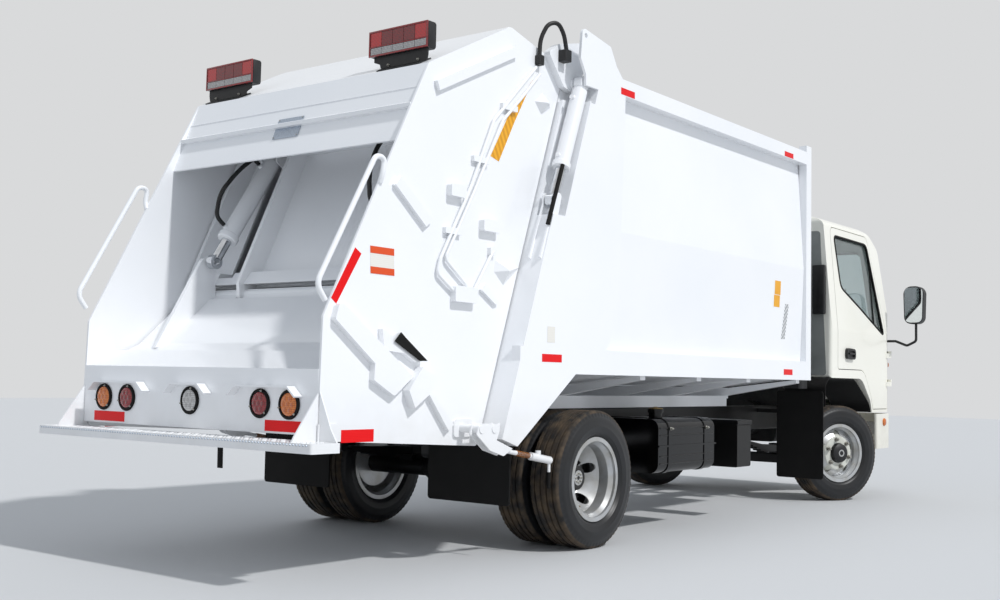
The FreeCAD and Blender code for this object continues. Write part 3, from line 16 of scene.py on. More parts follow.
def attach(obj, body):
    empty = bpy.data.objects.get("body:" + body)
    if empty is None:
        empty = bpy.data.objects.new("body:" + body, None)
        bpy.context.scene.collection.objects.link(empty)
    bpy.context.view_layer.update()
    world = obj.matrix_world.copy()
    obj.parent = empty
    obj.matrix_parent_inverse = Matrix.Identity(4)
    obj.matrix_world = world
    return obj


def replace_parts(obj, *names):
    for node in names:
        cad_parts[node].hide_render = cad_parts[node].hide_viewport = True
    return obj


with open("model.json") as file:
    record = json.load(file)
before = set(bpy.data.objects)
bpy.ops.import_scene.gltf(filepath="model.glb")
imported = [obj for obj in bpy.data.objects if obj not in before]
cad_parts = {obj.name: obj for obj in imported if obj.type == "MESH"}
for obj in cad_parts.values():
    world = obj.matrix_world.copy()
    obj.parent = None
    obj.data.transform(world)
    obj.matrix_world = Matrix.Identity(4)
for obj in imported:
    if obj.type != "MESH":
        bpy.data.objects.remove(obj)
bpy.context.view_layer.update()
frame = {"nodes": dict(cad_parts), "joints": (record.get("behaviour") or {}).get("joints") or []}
NODES = frame["nodes"]
bpy.ops.object.select_all(action="DESELECT")
scene = bpy.context.scene

# %% [markdown]
# ## Camera
#
# A long-ish normal lens stands behind the truck, to the right and low, and looks slightly up. The
# camera's three turns are written as a heading, a tilt and a roll, as they are set on a tripod
# head, and one matrix is built from them.

# %% Camera
EYE = Vector((-7.0626, -4.6905, 0.9389))   # metres, from the truck's origin
HEADING, TILT, ROLL = (math.radians(a) for a in (37.67, 3.714, 1.155))
LENS_MM = 42.98

forward = Vector((math.cos(HEADING) * math.cos(TILT), math.sin(HEADING) * math.cos(TILT),
                  math.sin(TILT)))
level_right = Vector((math.sin(HEADING), -math.cos(HEADING), 0))
level_up = level_right.cross(forward)
right = math.cos(ROLL) * level_right + math.sin(ROLL) * level_up
up = math.cos(ROLL) * level_up - math.sin(ROLL) * level_right
camera_data = bpy.data.cameras.new("tripod_camera")
camera_data.lens = LENS_MM
camera = bpy.data.objects.new("tripod_camera", camera_data)
camera.matrix_world = Matrix((
    (right.x, up.x, -forward.x, EYE.x),
    (right.y, up.y, -forward.y, EYE.y),
    (right.z, up.z, -forward.z, EYE.z),
    (0, 0, 0, 1)))
scene.collection.objects.link(camera)
scene.camera = camera
print("camera at", tuple(round(v, 2) for v in EYE))

# %% [markdown]
# ## Floor and studio light
#
# A white truck needs light from one side, so that its edges and welds show, and a floor and
# backdrop a little greyer than the paint. The sun's shadows have a narrow soft edge, the sky is
# even, and the backdrop is only the world's colour for rays from the camera and for reflections.

# %% Colours and nodes


def srgb(text):
    """A colour from its sRGB hex value, turned to the linear values that shaders use."""
    channels = [int(text[i:i + 2], 16) / 255 for i in (1, 3, 5)]
    return [c / 12.92 if c <= 0.04045 else ((c + 0.055) / 1.055) ** 2.4 for c in channels] + [1.0]


def add_node(tree, kind, links=(), **settings):
    """One shader node: settings go to its properties or input sockets, links join its inputs."""
    node = tree.nodes.new(kind)
    for name, value in settings.items():
        if hasattr(node, name):
            setattr(node, name, value)
        else:
            node.inputs[name.replace("_", " ")].default_value = value
    for socket, source in links:
        tree.links.new(source, node.inputs[socket])
    return node


# %% World, sun and floor
world = bpy.data.worlds.new("soft_studio")
world.use_nodes = True
scene.world = world
world_tree = world.node_tree
world_tree.nodes.clear()
SKY_STRENGTH, BACKDROP_STRENGTH = 0.66, 1.0
SUN_FROM, SUN_STRENGTH, SUN_WIDTH = Vector((0.02, -0.66, 0.75)), 2.2, math.radians(3)
FLOOR_SIZE = 60   # metres
sky = add_node(world_tree, "ShaderNodeBackground", Color=srgb("#E4ECF6"), Strength=SKY_STRENGTH)
backdrop = add_node(world_tree, "ShaderNodeBackground", Color=srgb("#D9DADB"), Strength=BACKDROP_STRENGTH)
path = add_node(world_tree, "ShaderNodeLightPath")
glossy = add_node(world_tree, "ShaderNodeMath", operation="MAXIMUM", links=[
    (0, path.outputs["Is Camera Ray"]), (1, path.outputs["Is Glossy Ray"])])
direct = add_node(world_tree, "ShaderNodeMath", operation="MAXIMUM", links=[
    (0, glossy.outputs[0]), (1, path.outputs["Is Transmission Ray"])])
seen = add_node(world_tree, "ShaderNodeMixShader",
                [(0, direct.outputs[0]), (1, sky.outputs[0]), (2, backdrop.outputs[0])])
add_node(world_tree, "ShaderNodeOutputWorld", [(0, seen.outputs[0])])
scene.view_settings.view_transform = "Standard"

sun_data = bpy.data.lights.new("softbox_sun", "SUN")
sun_data.energy = SUN_STRENGTH
sun_data.angle = SUN_WIDTH
sun = bpy.data.objects.new("softbox_sun", sun_data)
sun.rotation_euler = SUN_FROM.to_track_quat("Z", "Y").to_euler()
scene.collection.objects.link(sun)

bpy.ops.mesh.primitive_plane_add(size=FLOOR_SIZE, location=(0, 0, 0))
floor = bpy.context.object
floor.name = "studio_floor"
floor_paint = bpy.data.materials.new("studio_floor_paint")
floor_paint.use_nodes = True
floor_shader = floor_paint.node_tree.nodes["Principled BSDF"]
floor_shader.inputs["Base Color"].default_value = srgb("#CBCCCD")
floor_shader.inputs["Roughness"].default_value = 0.7
floor.data.materials.append(floor_paint)
bpy.ops.object.select_all(action="DESELECT")
print("studio: a sun, an even sky and a floor", FLOOR_SIZE, "m wide")

# %% [markdown]
# ## Paints, metals, rubber and glass
#
# Every finish is one shader with a small pattern behind it. A sprayed enamel has a fine orange peel
# and grows darker and browner towards the ground in grainy patches. Noise at a real scale needs no
# picture file and follows the object's own metres, so every pattern here is made of it. Patterns are
# given in millimetres, and those too fine to show at this distance are drawn as coarse as they need to be.

# %% One way to start a finish


def finish_start(name, scale, bump=0.1, detail=3.0, **settings):
    """A shader with a noise of the given wavelength in millimetres as bump; returns its parts."""
    material = bpy.data.materials.new(name)
    material.use_nodes = True
    tree = material.node_tree
    shader = tree.nodes["Principled BSDF"]
    for socket, value in settings.items():
        shader.inputs[socket.replace("_", " ")].default_value = value
    place = add_node(tree, "ShaderNodeTexCoord").outputs["Object"]
    noise = add_node(tree, "ShaderNodeTexNoise", [("Vector", place)], Scale=1000 / scale, Detail=detail)
    relief = add_node(tree, "ShaderNodeBump", [("Height", noise.outputs[0])], Strength=bump, Distance=0.001)
    tree.links.new(relief.outputs[0], shader.inputs["Normal"])
    return material, tree, shader, place, noise


def two_colours(tree, factor, first, second, low=0.35, high=0.7):
    """A mix of two colours by a factor squeezed between two values."""
    squeeze = add_node(tree, "ShaderNodeMapRange", [("Value", factor)], From_Min=low, From_Max=high)
    mix = add_node(tree, "ShaderNodeMix", data_type="RGBA")
    tree.links.new(squeeze.outputs[0], mix.inputs[0])
    for socket, colour in ((6, first), (7, second)):
        if isinstance(colour, str):
            mix.inputs[socket].default_value = srgb(colour)
        else:
            tree.links.new(colour, mix.inputs[socket])
    return mix.outputs[2]


def mottled(name, first, second, patch, scale, **settings):
    """A finish whose colour drifts between two shades in patches of a size in millimetres."""
    material, tree, shader, place, _ = finish_start(name, scale, **settings)
    cloud = add_node(tree, "ShaderNodeTexNoise", [("Vector", place)], Scale=1000 / patch, Detail=4.0)
    colour = two_colours(tree, cloud.outputs[0], first, second)
    tree.links.new(colour, shader.inputs["Base Color"])
    return material


def enamel(name, clean, dull, low_tone, low_tone_height):
    """Sprayed two-pack enamel: orange peel, faint drift of shade, and a darker, browner tone near the ground.
    """
    material, tree, shader, place, _ = finish_start(
        name, 6, bump=0.05, Roughness=0.32, Coat_Weight=0.4, Coat_Roughness=0.08)
    drift = add_node(tree, "ShaderNodeTexNoise", [("Vector", place)], Scale=1.3, Detail=3.0)
    paint = two_colours(tree, drift.outputs[0], clean, dull, 0.35, 0.75)
    # Darker and browner towards the ground, in grainy patches.
    height = add_node(tree, "ShaderNodeSeparateXYZ", [("Vector", place)])
    grain = add_node(tree, "ShaderNodeTexNoise", [("Vector", place)], Scale=9.0, Detail=6.0)
    low = add_node(tree, "ShaderNodeMapRange", [("Value", height.outputs["Z"])],
                   From_Min=low_tone_height, From_Max=low_tone_height - 0.5, To_Max=0.55)
    film = add_node(tree, "ShaderNodeMath", [(0, low.outputs[0]), (1, grain.outputs[0])],
                    operation="MULTIPLY")
    colour = two_colours(tree, film.outputs[0], paint, low_tone, 0.0, 1.0)
    tree.links.new(colour, shader.inputs["Base Color"])
    return material


# %% Paints
LOW_TONE_TOP = 0.9   # metres: the darker, browner tone fades out at this height
# Sprayed enamel: a clean glossy white with a faint drift of shade, darker and browner towards the ground.
white_enamel = enamel("sprayed_white_enamel", "#F7F8FA", "#F2F4F7", "#B9B2A6", LOW_TONE_TOP)
# The cab's own enamel, a warmer white.
cream_enamel = enamel("sprayed_cream_enamel", "#F6F4EA", "#F1EFE3", "#B4AC9C", LOW_TONE_TOP + 0.05)
# Brushed paint on rolled steel: near black, half gloss, slightly uneven.
chassis_black = mottled("brushed_chassis_black", "#060708", "#100F0F", 160, 5, bump=0.15, Roughness=0.38,
                        Specular_IOR_Level=0.3)
# Stoved enamel: deep black with sharp, wavy reflections.
tank_black = mottled("stoved_black_enamel", "#030304", "#060607", 300, 9, bump=0.06, Roughness=0.14,
                     Specular_IOR_Level=0.35)
# Sand casting under paint: dull and pitted.
cast_black = mottled("painted_cast_iron", "#17181A", "#2A2927", 60, 2.5, bump=0.5, Roughness=0.6)
# Aluminium-flake paint on the rims: a soft metallic sheen.
rim_silver = mottled("silver_wheel_paint", "#C6C8CA", "#B3B2AE", 90, 1.5, bump=0.05, Metallic=0.65,
                     Roughness=0.32)
# Plain pale paint on the wheel discs.
hub_cream = mottled("pale_wheel_disc_paint", "#DADBD2", "#C6C5BA", 70, 3, bump=0.08, Roughness=0.38)
print("paints:", len(bpy.data.materials))

# %% Rubber, plastic and cloth
# Tread rubber: brown dust lies in patches on dull black.
tread_rubber = mottled("dusty_tread_rubber", "#1B1A1A", "#544636", 70, 4, bump=0.4, Roughness=0.85)
# Moulded sidewall: cleaner, with a low sheen.
side_rubber = mottled("tyre_sidewall_rubber", "#0C0D10", "#15171B", 120, 3, bump=0.12, Roughness=0.42)
# Hose cover: black, with a fine wrapped texture.
hose_rubber = mottled("braided_hose_rubber", "#0E0E0F", "#1B1B1C", 30, 3, bump=0.4, Roughness=0.5)
# Rolled sheet rubber: matt and almost without reflections.
flap_rubber = mottled("sheet_rubber", "#060606", "#0D0C0C", 140, 6, bump=0.2, Roughness=0.7,
                      Specular_IOR_Level=0.25)
# Injection-moulded ABS: a fine grain that breaks the shine.
black_abs = mottled("grained_black_abs", "#101113", "#191A1C", 40, 1.6, bump=0.35, Roughness=0.48)
# Woven cloth: dark grey, with a weave drawn coarser than the real threads so that it shows.
seat_cloth, cloth_tree, cloth_shader, cloth_place, _ = finish_start(
    "woven_seat_cloth", 2, bump=0.3, Roughness=0.9, Sheen_Weight=0.3)
weave = add_node(cloth_tree, "ShaderNodeTexChecker", [("Vector", cloth_place)], Scale=160.0)
weave.inputs["Color1"].default_value = srgb("#3C424C")
weave.inputs["Color2"].default_value = srgb("#2F343D")
cloth_tree.links.new(weave.outputs["Color"], cloth_shader.inputs["Base Color"])
print("with rubber, plastic and cloth:", len(bpy.data.materials))

# %% Metals
# Hard chrome on a ground rod: a clean mirror.
hard_chrome = mottled("hard_chromed_rod", "#D6D8DB", "#C4C7CA", 40, 2, bump=0.02, Metallic=1.0,
                      Roughness=0.09)
# Zinc plate gone dull: pale grey metal with darker patches.
worn_zinc = mottled("zinc_plated_steel", "#B9B8B2", "#8F8B82", 12, 2, bump=0.2, Metallic=0.8,
                    Roughness=0.42)
# Bare thread left out in the rain: rough orange and brown.
rusty_thread = mottled("rusting_steel_thread", "#A36427", "#5E3F26", 10, 2, bump=0.6, Metallic=0.3,
                       Roughness=0.7)
# Turned brass, tarnished.
brass = mottled("dull_brass", "#A4895A", "#7D6743", 15, 2, bump=0.2, Metallic=0.9, Roughness=0.4)
# Glass silvered behind: reads as one bright mirror.
mirror_silver = mottled("silvered_mirror_glass", "#DDE2E6", "#D6DBE0", 500, 90, bump=0.0, Metallic=1.0,
                        Roughness=0.02)
print("with metals:", len(bpy.data.materials))

# %% Glass and lamp plastics
# Float glass: clear, faintly green, with flat reflections.
window_glass = mottled("float_glass", "#D9E4E4", "#CFDCDD", 600, 400, bump=0.0, Roughness=0.02,
                       Transmission_Weight=0.92, IOR=1.45)


def lamp_plastic(name, first, second, prism=9):
    """Moulded acrylic over prisms: a square pattern of facets at the prisms' pitch."""
    material, tree, shader, place, _ = finish_start(
        name, 3, bump=0.05, Roughness=0.18, Coat_Weight=0.8, Coat_Roughness=0.03)
    facets = add_node(tree, "ShaderNodeTexVoronoi", [("Vector", place)], Scale=1000 / prism,
                      Randomness=0.15)
    colour = two_colours(tree, facets.outputs["Distance"], first, second, 0.1, 0.7)
    tree.links.new(colour, shader.inputs["Base Color"])
    return material


# Dyed acrylic in three colours, and a brighter red where the lens is a reflector.
red_acrylic = lamp_plastic("red_lamp_acrylic", "#B0101C", "#5E0810")
bright_red = lamp_plastic("red_reflector_acrylic", "#E8262A", "#A00E14", 6)
amber_acrylic = lamp_plastic("amber_lamp_acrylic", "#F08A24", "#B24E0C")
clear_acrylic = lamp_plastic("clear_lamp_acrylic", "#DDDCDA", "#93908F")
print("with glass and lamp plastics:", len(bpy.data.materials))

# %% Reflective tape and stickers


def film(name, first, second, pitch, **settings):
    """Retroreflective film: a fine honeycomb in two close shades."""
    material, tree, shader, place, _ = finish_start(name, 3, bump=0.04, Roughness=0.3, **settings)
    comb = add_node(tree, "ShaderNodeTexVoronoi", [("Vector", place)], Scale=1000 / pitch, Randomness=0.0)
    tree.links.new(two_colours(tree, comb.outputs["Distance"], first, second, 0.2, 0.6),
                   shader.inputs["Base Color"])
    return material


# Reflective tape in a strong, even red, and printed vinyl with a flatter look.
red_film = film("red_reflective_tape", "#F4060F", "#E2040C", 7, Specular_IOR_Level=0.25)
orange_film = film("orange_sticker_vinyl", "#E8561A", "#DE4C14", 9)
yellow_film = film("yellow_sticker_vinyl", "#F6B414", "#EDA50C", 9)
white_film = film("white_sticker_vinyl", "#F4F2EC", "#E9E6DE", 9)
# Brushed steel sheet: pale blue-grey with a satin shine.
plate_steel = mottled("brushed_data_plate", "#B4BECB", "#9FA9B6", 8, 1, bump=0.05, Metallic=0.5,
                      Roughness=0.35)


WAVES_PER_UNIT = 3.2   # a wave texture of scale 1 shows about this many bands in a metre


def striped(name, first, second, pitch, slope):
    """Slanting bands across the side of the truck, at a pitch in millimetres."""
    material, tree, shader, place, _ = finish_start(name, 3, bump=0.04, Roughness=0.35)
    turned = add_node(tree, "ShaderNodeMapping", [("Vector", place)])
    turned.inputs["Rotation"].default_value = (0, math.radians(slope), 0)
    bands = add_node(tree, "ShaderNodeTexWave", [("Vector", turned.outputs[0])],
                     wave_type="BANDS", bands_direction="X", Scale=1000 / pitch / WAVES_PER_UNIT)
    tree.links.new(two_colours(tree, bands.outputs["Fac"], first, second, 0.45, 0.55),
                   shader.inputs["Base Color"])
    return material


# Hazard tape in two yellows, and a pale vent panel whose dark slots are painted shade.
hazard_film = striped("yellow_black_hazard_tape", "#F2AE1E", "#D99612", 34, 28)
vent_shade_film = striped("vent_slot_shade_paint", "#F1F2F2", "#5B6068", 20, 40)
print("all finishes:", len(bpy.data.materials))

# %% [markdown]
# ## A finish for each piece of the construction model
#
# The construction model's pieces keep their shape, and only their material slots change. The truck
# is white on the body and its machinery, a warmer white on the cab, and black below. Tyres, round
# lamps, clamp screws and seats are painted too, although finer pieces stand for them further down.

# %% Assign the finishes
FINISHES = {
    white_enamel: "body_subframe body_shell ejector_panel tailgate_shell side_gussets rear_step "
                  "grab_handles lift_cylinder_barrels slide_panel packing_blade blade_cylinder_barrels "
                  "hydraulic_pipes gate_clamps gate_clamp_screws",
    cream_enamel: "cab_shell cab_door_left cab_door_right front_bumper",
    hard_chrome: "lift_cylinder_rods blade_cylinder_rods",
    rim_silver: "rear_rims_left rear_rims_right front_rim_left front_rim_right",
    chassis_black: "chassis_frame leaf_springs front_axle rear_axle battery_box",
    tank_black: "fuel_tank",
    cast_black: "engine_block drive_shaft knuckle_left knuckle_right",
    flap_rubber: "rear_mudflaps front_mudflaps wheel_arch_liners",
    black_abs: "door_handle_left door_handle_right dashboard steering_wheel mirror_left mirror_right "
               "air_intake round_lamps tail_lamps",
    hose_rubber: "lift_hoses blade_hoses",
    seat_cloth: "seats",
    window_glass: "windscreen rear_window door_glass_left door_glass_right",
    clear_acrylic: "headlamps",
    side_rubber: "front_tyre_left front_tyre_right rear_tyres_left rear_tyres_right",
}
painted = 0
for finish, names in FINISHES.items():
    for name in names.split():
        mesh = NODES[name].data
        mesh.materials.clear()
        mesh.materials.append(finish)
        painted += 1
print("painted", painted, "of", len(NODES), "nodes")

# %% [markdown]
# ## Helpers for new pieces
#
# A new piece starts as a primitive or an outline, is shaped with edit-mode operators and modifiers,
# and ends with its place in its mesh and its object at the origin.

# %% Selecting, shaping and finishing
SIDES = (("left", 1), ("right", -1))   # left is +Y
SMOOTH_ANGLE = math.radians(35)
ROD_ROUNDNESS = 4
MERGE_DISTANCE = 0.00005


def only(piece):
    """Select one object and nothing else."""
    bpy.ops.object.select_all(action="DESELECT")
    piece.select_set(True)
    bpy.context.view_layer.objects.active = piece
    return piece


def outline_piece(name, corners):
    """A new mesh of one flat face, drawn through corners in metres."""
    bpy.ops.object.select_all(action="DESELECT")
    mesh = bpy.data.meshes.new(name)
    mesh.from_pydata([tuple(c) for c in corners], [], [list(range(len(corners)))])
    piece = bpy.data.objects.new(name, mesh)
    scene.collection.objects.link(piece)
    return only(piece)


def modify(piece, kind, **settings):
    """Add a modifier and apply it at once."""
    only(piece)
    modifier = piece.modifiers.new(kind, kind)
    for key, value in settings.items():
        setattr(modifier, key, value)
    bpy.ops.object.modifier_apply(modifier=modifier.name)
    return piece


def join(pieces, name):
    """Several pieces made one."""
    only(pieces[0])
    for piece in pieces[1:]:
        piece.select_set(True)
    if len(pieces) > 1:
        bpy.ops.object.join()
    pieces[0].name = name
    return pieces[0]


def hand_over(piece, body, slot, *finishes):
    """Put the place in the mesh, paint the piece, and let it ride on its body."""
    only(piece)
    bpy.ops.object.transform_apply(location=True, rotation=True, scale=True)
    if finishes:
        piece.data.materials.clear()
        for finish in finishes:
            piece.data.materials.append(finish)
    bpy.ops.object.shade_smooth_by_angle(angle=SMOOTH_ANGLE)
    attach(piece, body)
    bpy.ops.object.select_all(action="DESELECT")
    return piece


def millimetres(x, y, z):
    """A point given in millimetres."""
    return Vector((x, y, z)) / 1000


def thin_plate(name, corners, thickness, edge=0):
    """A flat sheet of a thickness through corners, its edges taken off by an amount; all in metres."""
    plate = modify(outline_piece(name, corners), "SOLIDIFY", thickness=thickness, offset=0)
    return modify(plate, "BEVEL", width=edge, segments=1) if edge else plate


OUTSIDE_Y = 2     # metres: well outside the truck's side
SKIN_GAP = 0.3    # millimetres between a film and the skin


def skin_y(node, x, z, side):
    """Where a node's outer skin is at a place on the side, found by a ray from outside, in metres."""
    start = Vector((x / 1000, side * OUTSIDE_Y, z / 1000))
    found, hit, _, _ = NODES[node].ray_cast(start, Vector((0, -side, 0)))
    return hit.y if found else None


def sheet_on_side(name, corners, node, side, lift=0.0, thickness=0.8):
    """A thin panel laid on a node's side: (x, z) corners, and how far it lies off the skin."""
    hits = [skin_y(node, x, z, side) for x, z in corners]
    known = max((hit for hit in hits if hit is not None), key=abs)
    ring = [Vector((x / 1000, (hit or known) + side * (SKIN_GAP + lift) / 1000, z / 1000))
            for hit, (x, z) in zip(hits, corners)]
    piece = outline_piece(name, ring)
    bpy.ops.object.mode_set(mode="EDIT")
    bpy.ops.mesh.select_all(action="SELECT")
    outward = (0, side * thickness / 1000, 0)
    bpy.ops.mesh.extrude_region_move(TRANSFORM_OT_translate={"value": outward})
    bpy.ops.mesh.select_all(action="SELECT")
    bpy.ops.mesh.normals_make_consistent(inside=False)
    bpy.ops.object.mode_set(mode="OBJECT")
    return modify(piece, "BEVEL", width=thickness / 3000, segments=1)


def upright(low_x, high_x, low_z, high_z):
    """The corners of an upright rectangle."""
    return [(low_x, low_z), (high_x, low_z), (high_x, high_z), (low_x, high_z)]


def spun(name, section, centre, axis, steps):
    """A round piece: a section of (along, radius) millimetres, spun about an axis through centre."""
    axis = Vector(axis).normalized()
    across = axis.orthogonal().normalized()
    mesh = bpy.data.meshes.new(name)
    points = [centre + axis * a / 1000 + across * r / 1000 for a, r in section]
    mesh.from_pydata([tuple(p) for p in points], [(i, i + 1) for i in range(len(points) - 1)], [])
    piece = bpy.data.objects.new(name, mesh)
    scene.collection.objects.link(piece)
    only(piece)
    bpy.ops.object.mode_set(mode="EDIT")
    bpy.ops.mesh.select_all(action="SELECT")
    bpy.ops.mesh.spin(steps=steps, angle=2 * math.pi, center=centre, axis=axis)
    bpy.ops.mesh.select_all(action="SELECT")
    bpy.ops.mesh.remove_doubles(threshold=MERGE_DISTANCE)
    bpy.ops.mesh.normals_make_consistent(inside=False)
    bpy.ops.object.mode_set(mode="OBJECT")
    return piece


def rod(name, points, radius):
    """A bent rod along points: a curve with a round bevel, made a mesh."""
    bpy.ops.object.select_all(action="DESELECT")
    curve = bpy.data.curves.new(name, "CURVE")
    curve.dimensions = "3D"
    line = curve.splines.new("POLY")
    line.points.add(len(points) - 1)
    for knot, point in zip(line.points, points):
        knot.co = (*point, 1)
    curve.bevel_depth = radius
    curve.bevel_resolution = ROD_ROUNDNESS
    curve.use_fill_caps = True
    piece = bpy.data.objects.new(name, curve)
    scene.collection.objects.link(piece)
    only(piece)
    bpy.ops.object.convert(target="MESH")
    return bpy.context.object


def closed_rod(name, points, radius):
    """A rod that ends where it starts."""
    return rod(name, points + [points[0]], radius)


# %% [markdown]
# ## Tyres
#
# A highway tyre has a flat crown with four straight grooves, square shoulders with short sipes, and
# a sidewall with moulded rings. The section is drawn once and spun, which gives true circles, and
# the sipes are pressed into the shoulder's vertices.

# %% Tyre section and spin
TYRE_STEPS = 216
CROWN = 383
GROOVES = (-57, -19, 19, 57)
GROOVE_DEEP = 11
GROOVE_TOP, GROOVE_FOOT = 6, 3.6   # half a groove's width at the crown and at its foot
# Sipes are cut at every third step round the tyre: how far they reach and how deep they are, in metres.
SIPE_EVERY = 3
SHOULDER_FROM, SHOULDER_TO, SHOULDER_LOW = 0.079, 0.0995, 0.350
SHOULDER_DEEP, SHOULDER_IN = 0.0012, 0.0022
RIB_EDGE, RIB_REACH, RIB_LOW, RIB_DEEP = 0.063, 0.0008, 0.380, 0.0015
TREAD_FROM = 0.364   # dusty tread finish outside this radius
SIDEWALL = [(78.4, 227), (78.4, 236), (84, 239), (97, 252), (99.5, 256), (102, 258), (105.5, 272),
            (107, 286), (108, 290), (108, 296), (106.8, 300), (106.2, 322), (104.6, 333), (102.2, 344),
            (100, 347), (98, 356), (93, 368), (92, 372), (85, 381), (80, CROWN)]


def tyre_profile():
    """The tyre's outline from bead to bead, with grooves across the crown."""
    left = [(-a, r) for a, r in SIDEWALL]
    crown = []
    for middle in GROOVES:
        crown += [(middle - GROOVE_TOP, CROWN), (middle - GROOVE_FOOT, CROWN - GROOVE_DEEP),
                  (middle + GROOVE_FOOT, CROWN - GROOVE_DEEP), (middle + GROOVE_TOP, CROWN)]
    return left + crown + SIDEWALL[::-1]


def make_tyre(name, centre, axis):
    """One tyre with sipes, tread painted apart from sidewall."""
    tyre = spun(name, tyre_profile(), centre, axis, TYRE_STEPS)
    axis = Vector(axis).normalized()
    across = axis.orthogonal().normalized()
    third = axis.cross(across)
    for vertex in tyre.data.vertices:
        arm = vertex.co - centre
        along = arm.dot(axis)
        out = arm - axis * along
        turn = math.atan2(out.dot(third), out.dot(across)) / (2 * math.pi) * TYRE_STEPS
        if round(turn) % SIPE_EVERY:
            continue
        if SHOULDER_FROM < abs(along) < SHOULDER_TO and out.length > SHOULDER_LOW:
            vertex.co -= out.normalized() * SHOULDER_DEEP + axis * math.copysign(SHOULDER_IN, along)
        elif abs(abs(along) - RIB_EDGE) < RIB_REACH and out.length > RIB_LOW:
            vertex.co -= out.normalized() * RIB_DEEP
    tyre.data.materials.append(side_rubber)
    tyre.data.materials.append(tread_rubber)
    for face in tyre.data.polygons:
        arm = Vector(face.center) - centre
        radius = (arm - axis * arm.dot(axis)).length
        face.material_index = 1 if radius > TREAD_FROM else 0
    return tyre


JOINT = {joint["name"]: joint for joint in frame["joints"]}
TWIN = 0.1215   # half the distance between the twin wheels' middles
wheel_sets = {}
for side, outward in SIDES:
    front = JOINT["front_wheel_%s_spin" % side]
    rear = JOINT["rear_wheels_%s_spin" % side]
    front_axis = Vector(front["axis"]) * outward * (1 if front["axis"][1] > 0 else -1)
    rear_axis = Vector((0, outward, 0))
    wheel_sets[side] = (Vector(front["pos_m"]), front_axis, Vector(rear["pos_m"]), rear_axis)
    tyre = make_tyre("front_tyre_%s_tread" % side, Vector(front["pos_m"]), front_axis)
    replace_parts(hand_over(tyre, "wheel_front_%s" % side, "tyre_rubber"), "front_tyre_%s" % side)
    twins = [make_tyre("twin", Vector(rear["pos_m"]) + rear_axis * shift, rear_axis)
             for shift in (TWIN, -TWIN)]
    twins = join(twins, "rear_tyres_%s_tread" % side)
    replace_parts(hand_over(twins, "wheels_rear_%s" % side, "tyre_rubber"), "rear_tyres_%s" % side)
print("tyres:", len(tyre.data.polygons), "faces each")

# %% [markdown]
# ## Hubs, wheel nuts and valves
#
# Six studs hold each wheel. A nut is a six-sided cylinder with a bevelled top on a round washer,
# with the stud's end standing out of it.

# %% Nuts and hub caps
STUD_CIRCLE = 0.111   # metres from the wheel's middle
WASHER_TALL = 4       # millimetres
DISC_STEPS, HUB_STEPS = 72, 48


def ring_of_nuts(name, centre, axis, reach, big=15, tall=20, count=6, circle=STUD_CIRCLE):
    """Nuts on studs round an axis, at a reach along it from the centre."""
    axis = Vector(axis).normalized()
    across = axis.orthogonal().normalized()
    nuts = []
    for index in range(count):
        arm = Matrix.Rotation(2 * math.pi * index / count, 3, axis) @ across
        foot = centre + axis * reach + arm * circle
        top = WASHER_TALL + tall
        for sides, radius, low, high in ((20, big * 1.25, 0, WASHER_TALL), (6, big, WASHER_TALL, top),
                                         (12, big * 0.55, top, WASHER_TALL + tall * 1.5)):
            bpy.ops.mesh.primitive_cylinder_add(
                vertices=sides, radius=radius / 1000, depth=(high - low) / 1000,
                location=foot + axis * (low + high) / 2000,
                rotation=axis.to_track_quat("Z", "Y").to_euler())
            nuts.append(modify(bpy.context.object, "BEVEL", width=0.0012, segments=1))
    return join(nuts, name)


for side, (front_at, front_axis, rear_at, rear_axis) in wheel_sets.items():
    section = [(5.2, 190), (5.2, 176), (66, 132), (68.8, 122), (68.8, 82)]
    disc = spun("front_disc_%s" % side, section, front_at, front_axis, DISC_STEPS)
    modify(disc, "SOLIDIFY", thickness=0.0015, offset=0)
    hand_over(disc, "wheel_front_%s" % side, "silver_paint", hub_cream)
    nuts = ring_of_nuts("front_nuts_%s" % side, front_at, front_axis, 0.0687)
    hand_over(nuts, "wheel_front_%s" % side, "silver_paint", worn_zinc)
    section = [(68.5, 80.5), (97, 73.5), (111.4, 49.5), (111.6, 30), (108, 26), (108, 20), (112, 16),
               (112.5, 0)]
    cap = spun("front_hub_cap_%s" % side, section, front_at, front_axis, HUB_STEPS)
    hand_over(cap, "wheel_front_%s" % side, "black_plastic", black_abs)
    nuts = ring_of_nuts("rear_nuts_%s" % side, rear_at, rear_axis, 0.014, 14, 22)
    hand_over(nuts, "wheels_rear_%s" % side, "cast_iron", cast_black)
    section = [(14.4, 92), (89, 67.5), (95.5, 61), (96, 44), (92, 40), (92, 12), (97, 10), (97, 0)]
    hub = spun("rear_hub_%s" % side, section, rear_at, rear_axis, HUB_STEPS)
    hand_over(hub, "wheels_rear_%s" % side, "cast_iron", cast_black)
    bolts = ring_of_nuts("rear_hub_bolts_%s" % side, rear_at, rear_axis, 0.0925, 5, 5, 8, 0.026)
    hand_over(bolts, "wheels_rear_%s" % side, "cast_iron", worn_zinc)
    across = rear_axis.orthogonal().normalized()
    foot = rear_at + rear_axis * 0.150 + across * 0.205
    valve = rod("valve_%s" % side, [foot, foot + rear_axis * 0.03 - across * 0.004,
                                    foot + rear_axis * 0.052 - across * 0.006], 0.0045)
    hand_over(valve, "wheels_rear_%s" % side, "worn_steel", brass)
print("wheel nuts and hubs on", list(wheel_sets))

# %% [markdown]
# ## Lamps
#
# The round lamps are rubber grommets with a clear dome over a ring of small emitters. The roof
# lamps are wide moulded lenses, red above and clear below, on a folded bracket.

